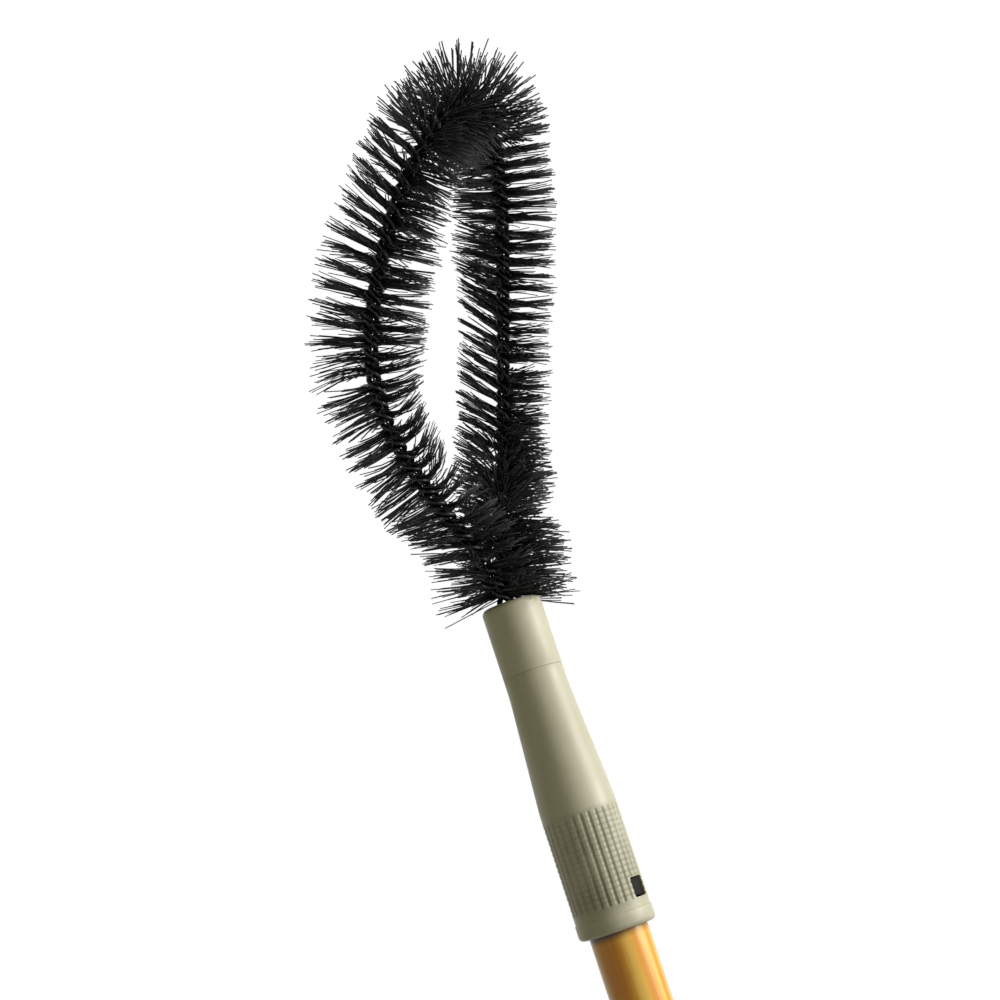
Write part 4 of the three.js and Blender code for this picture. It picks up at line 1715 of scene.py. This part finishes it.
@dataclass(frozen=True)
class SoftLamp:
    """Soft box, aimed at the brush."""

    name: str
    place: Vector
    width: float
    height: float
    power: float

    def build(self, aim: Vector) -> None:
        """Hang the lamp.

        Args:
            aim: Point that it faces.
        """
        data = bpy.data.lights.new(self.name, "AREA")
        data.shape = "RECTANGLE"
        data.size = self.width
        data.size_y = self.height
        data.energy = self.power
        lamp = bpy.data.objects.new(self.name, data)
        lamp.location = self.place
        lamp.rotation_euler = (aim - self.place).to_track_quat("-Z", "Y").to_euler()
        bpy.context.scene.collection.objects.link(lamp)


def white_rays(sheet: NodeSheet) -> NodeSocket:
    """Tell which rays see the studio as white: from the camera, off gloss and through glass.

    Args:
        sheet: Sheet of the floor's material or of the world.

    Returns:
        The value socket, 1 for those rays and 0 for the others.
    """
    rays = sheet.add("ShaderNodeLightPath").outputs
    clear = sheet.combine("MAXIMUM", rays["Is Camera Ray"], rays["Is Glossy Ray"])
    return sheet.combine("MAXIMUM", clear, rays["Is Transmission Ray"])


@dataclass
class Studio:
    """White studio: a pale floor, a white surround and soft boxes."""

    camera: PhotoCamera
    floor_radius: float = 1.6
    floor_sides: int = 96
    floor_dim: Colour = (0.6, 0.6, 0.59, 1.0)
    floor_pale: Colour = (0.66, 0.66, 0.65, 1.0)
    floor_glow: float = 0.62
    fill_level: float = 0.12
    fill_tint: Colour = (1.0, 0.92, 0.3, 1.0)
    aim: Place = (0.0, 0.0, 0.52)

    def build(self) -> None:
        """Build the floor, the surround and the lamps."""
        bpy.context.scene.view_settings.view_transform = "Standard"
        self.floor()
        self.surround()
        for lamp in self.lamps():
            lamp.build(Vector(self.aim))

    def place(self, right: float, back: float, up: float) -> Vector:
        """Give a place to the camera's right, back and up from the aim."""
        camera = self.camera
        return Vector(self.aim) + camera.right * right + camera.back * back + camera.up * up

    def lamps(self) -> list[SoftLamp]:
        """Set out the lamps, three from the camera's side of the brush and one above it.

        Returns:
            The lamps.
        """
        key = self.place(right=1.25, back=0.25, up=0.6)
        strip = self.place(right=0.9, back=0.8, up=0.0)
        fill = self.place(right=-1.2, back=0.9, up=0.6)
        above = Vector((0.2, 0.3, 1.9))
        return [
            SoftLamp("key_softbox", key, width=0.6, height=0.6, power=25.0),
            SoftLamp("strip_softbox", strip, width=0.12, height=0.9, power=1.0),
            SoftLamp("fill_softbox", fill, width=1.2, height=1.2, power=0.8),
            SoftLamp("top_softbox", above, width=1.0, height=1.0, power=3.0),
        ]

    def floor(self) -> None:
        """Lay the pale floor, which is white to the camera and keeps the brush's shadow."""
        mesh = bmesh.new()
        bmesh.ops.create_circle(mesh, cap_ends=True, segments=self.floor_sides, radius=self.floor_radius)
        floor = to_piece("studio_floor", mesh, ShadeBelow.MOULDED)
        material, sheet, shader = start_material("pale_floor")
        cloud = sheet.cloud(sheet.object_place((1.0, 1.0, 1.0)), scale=3.0, detail=2.0)
        tone = sheet.ramp(cloud, ((0.0, self.floor_dim), (1.0, self.floor_pale)))
        sheet.feed(shader, {"Base Color": tone, "Roughness": 0.9, "Specular IOR Level": 0.1})
        level = sheet.spread(white_rays(sheet), low=0.0, high=self.floor_glow)
        glow = sheet.add("ShaderNodeEmission", {"Strength": level})
        both = sheet.add("ShaderNodeAddShader", {0: shader.outputs["BSDF"], 1: glow.outputs["Emission"]})
        output = next(node for node in material.node_tree.nodes if node.type == "OUTPUT_MATERIAL")
        sheet.feed(output, {"Surface": both.outputs["Shader"]})
        floor.data.materials.append(material)

    def surround(self) -> None:
        """Make the surround white to the camera and in reflections, and a soft fill elsewhere."""
        world = bpy.data.worlds.new("white_surround")
        world.use_nodes = True
        world.node_tree.nodes.clear()
        sheet = NodeSheet(world.node_tree)
        seen = white_rays(sheet)
        inputs = {
            "Color": sheet.ramp(seen, ((0.0, self.fill_tint), (1.0, WHITE))),
            "Strength": sheet.spread(seen, low=self.fill_level, high=1.0),
        }
        sky = sheet.add("ShaderNodeBackground", inputs)
        sheet.add("ShaderNodeOutputWorld", {"Surface": sky.outputs["Background"]})
        bpy.context.scene.world = world


def main() -> None:
    """Build the studio and every sub-assembly of the brush in order."""
    logging.basicConfig(level=logging.INFO, format="%(name)s: %(message)s")
    camera = PhotoCamera()
    camera.build()
    Studio(camera).build()
    finishes = {slot: finish.material() for slot, finish in FINISHES.items()}
    strand = Strand()
    pole = Pole()
    for assembly in (BristleFill(strand), TwistedWires(strand), Socket(strand), pole, Lock(pole)):
        assembly.dress(assembly.build(), finishes)


if __name__ == "__main__":
    main()
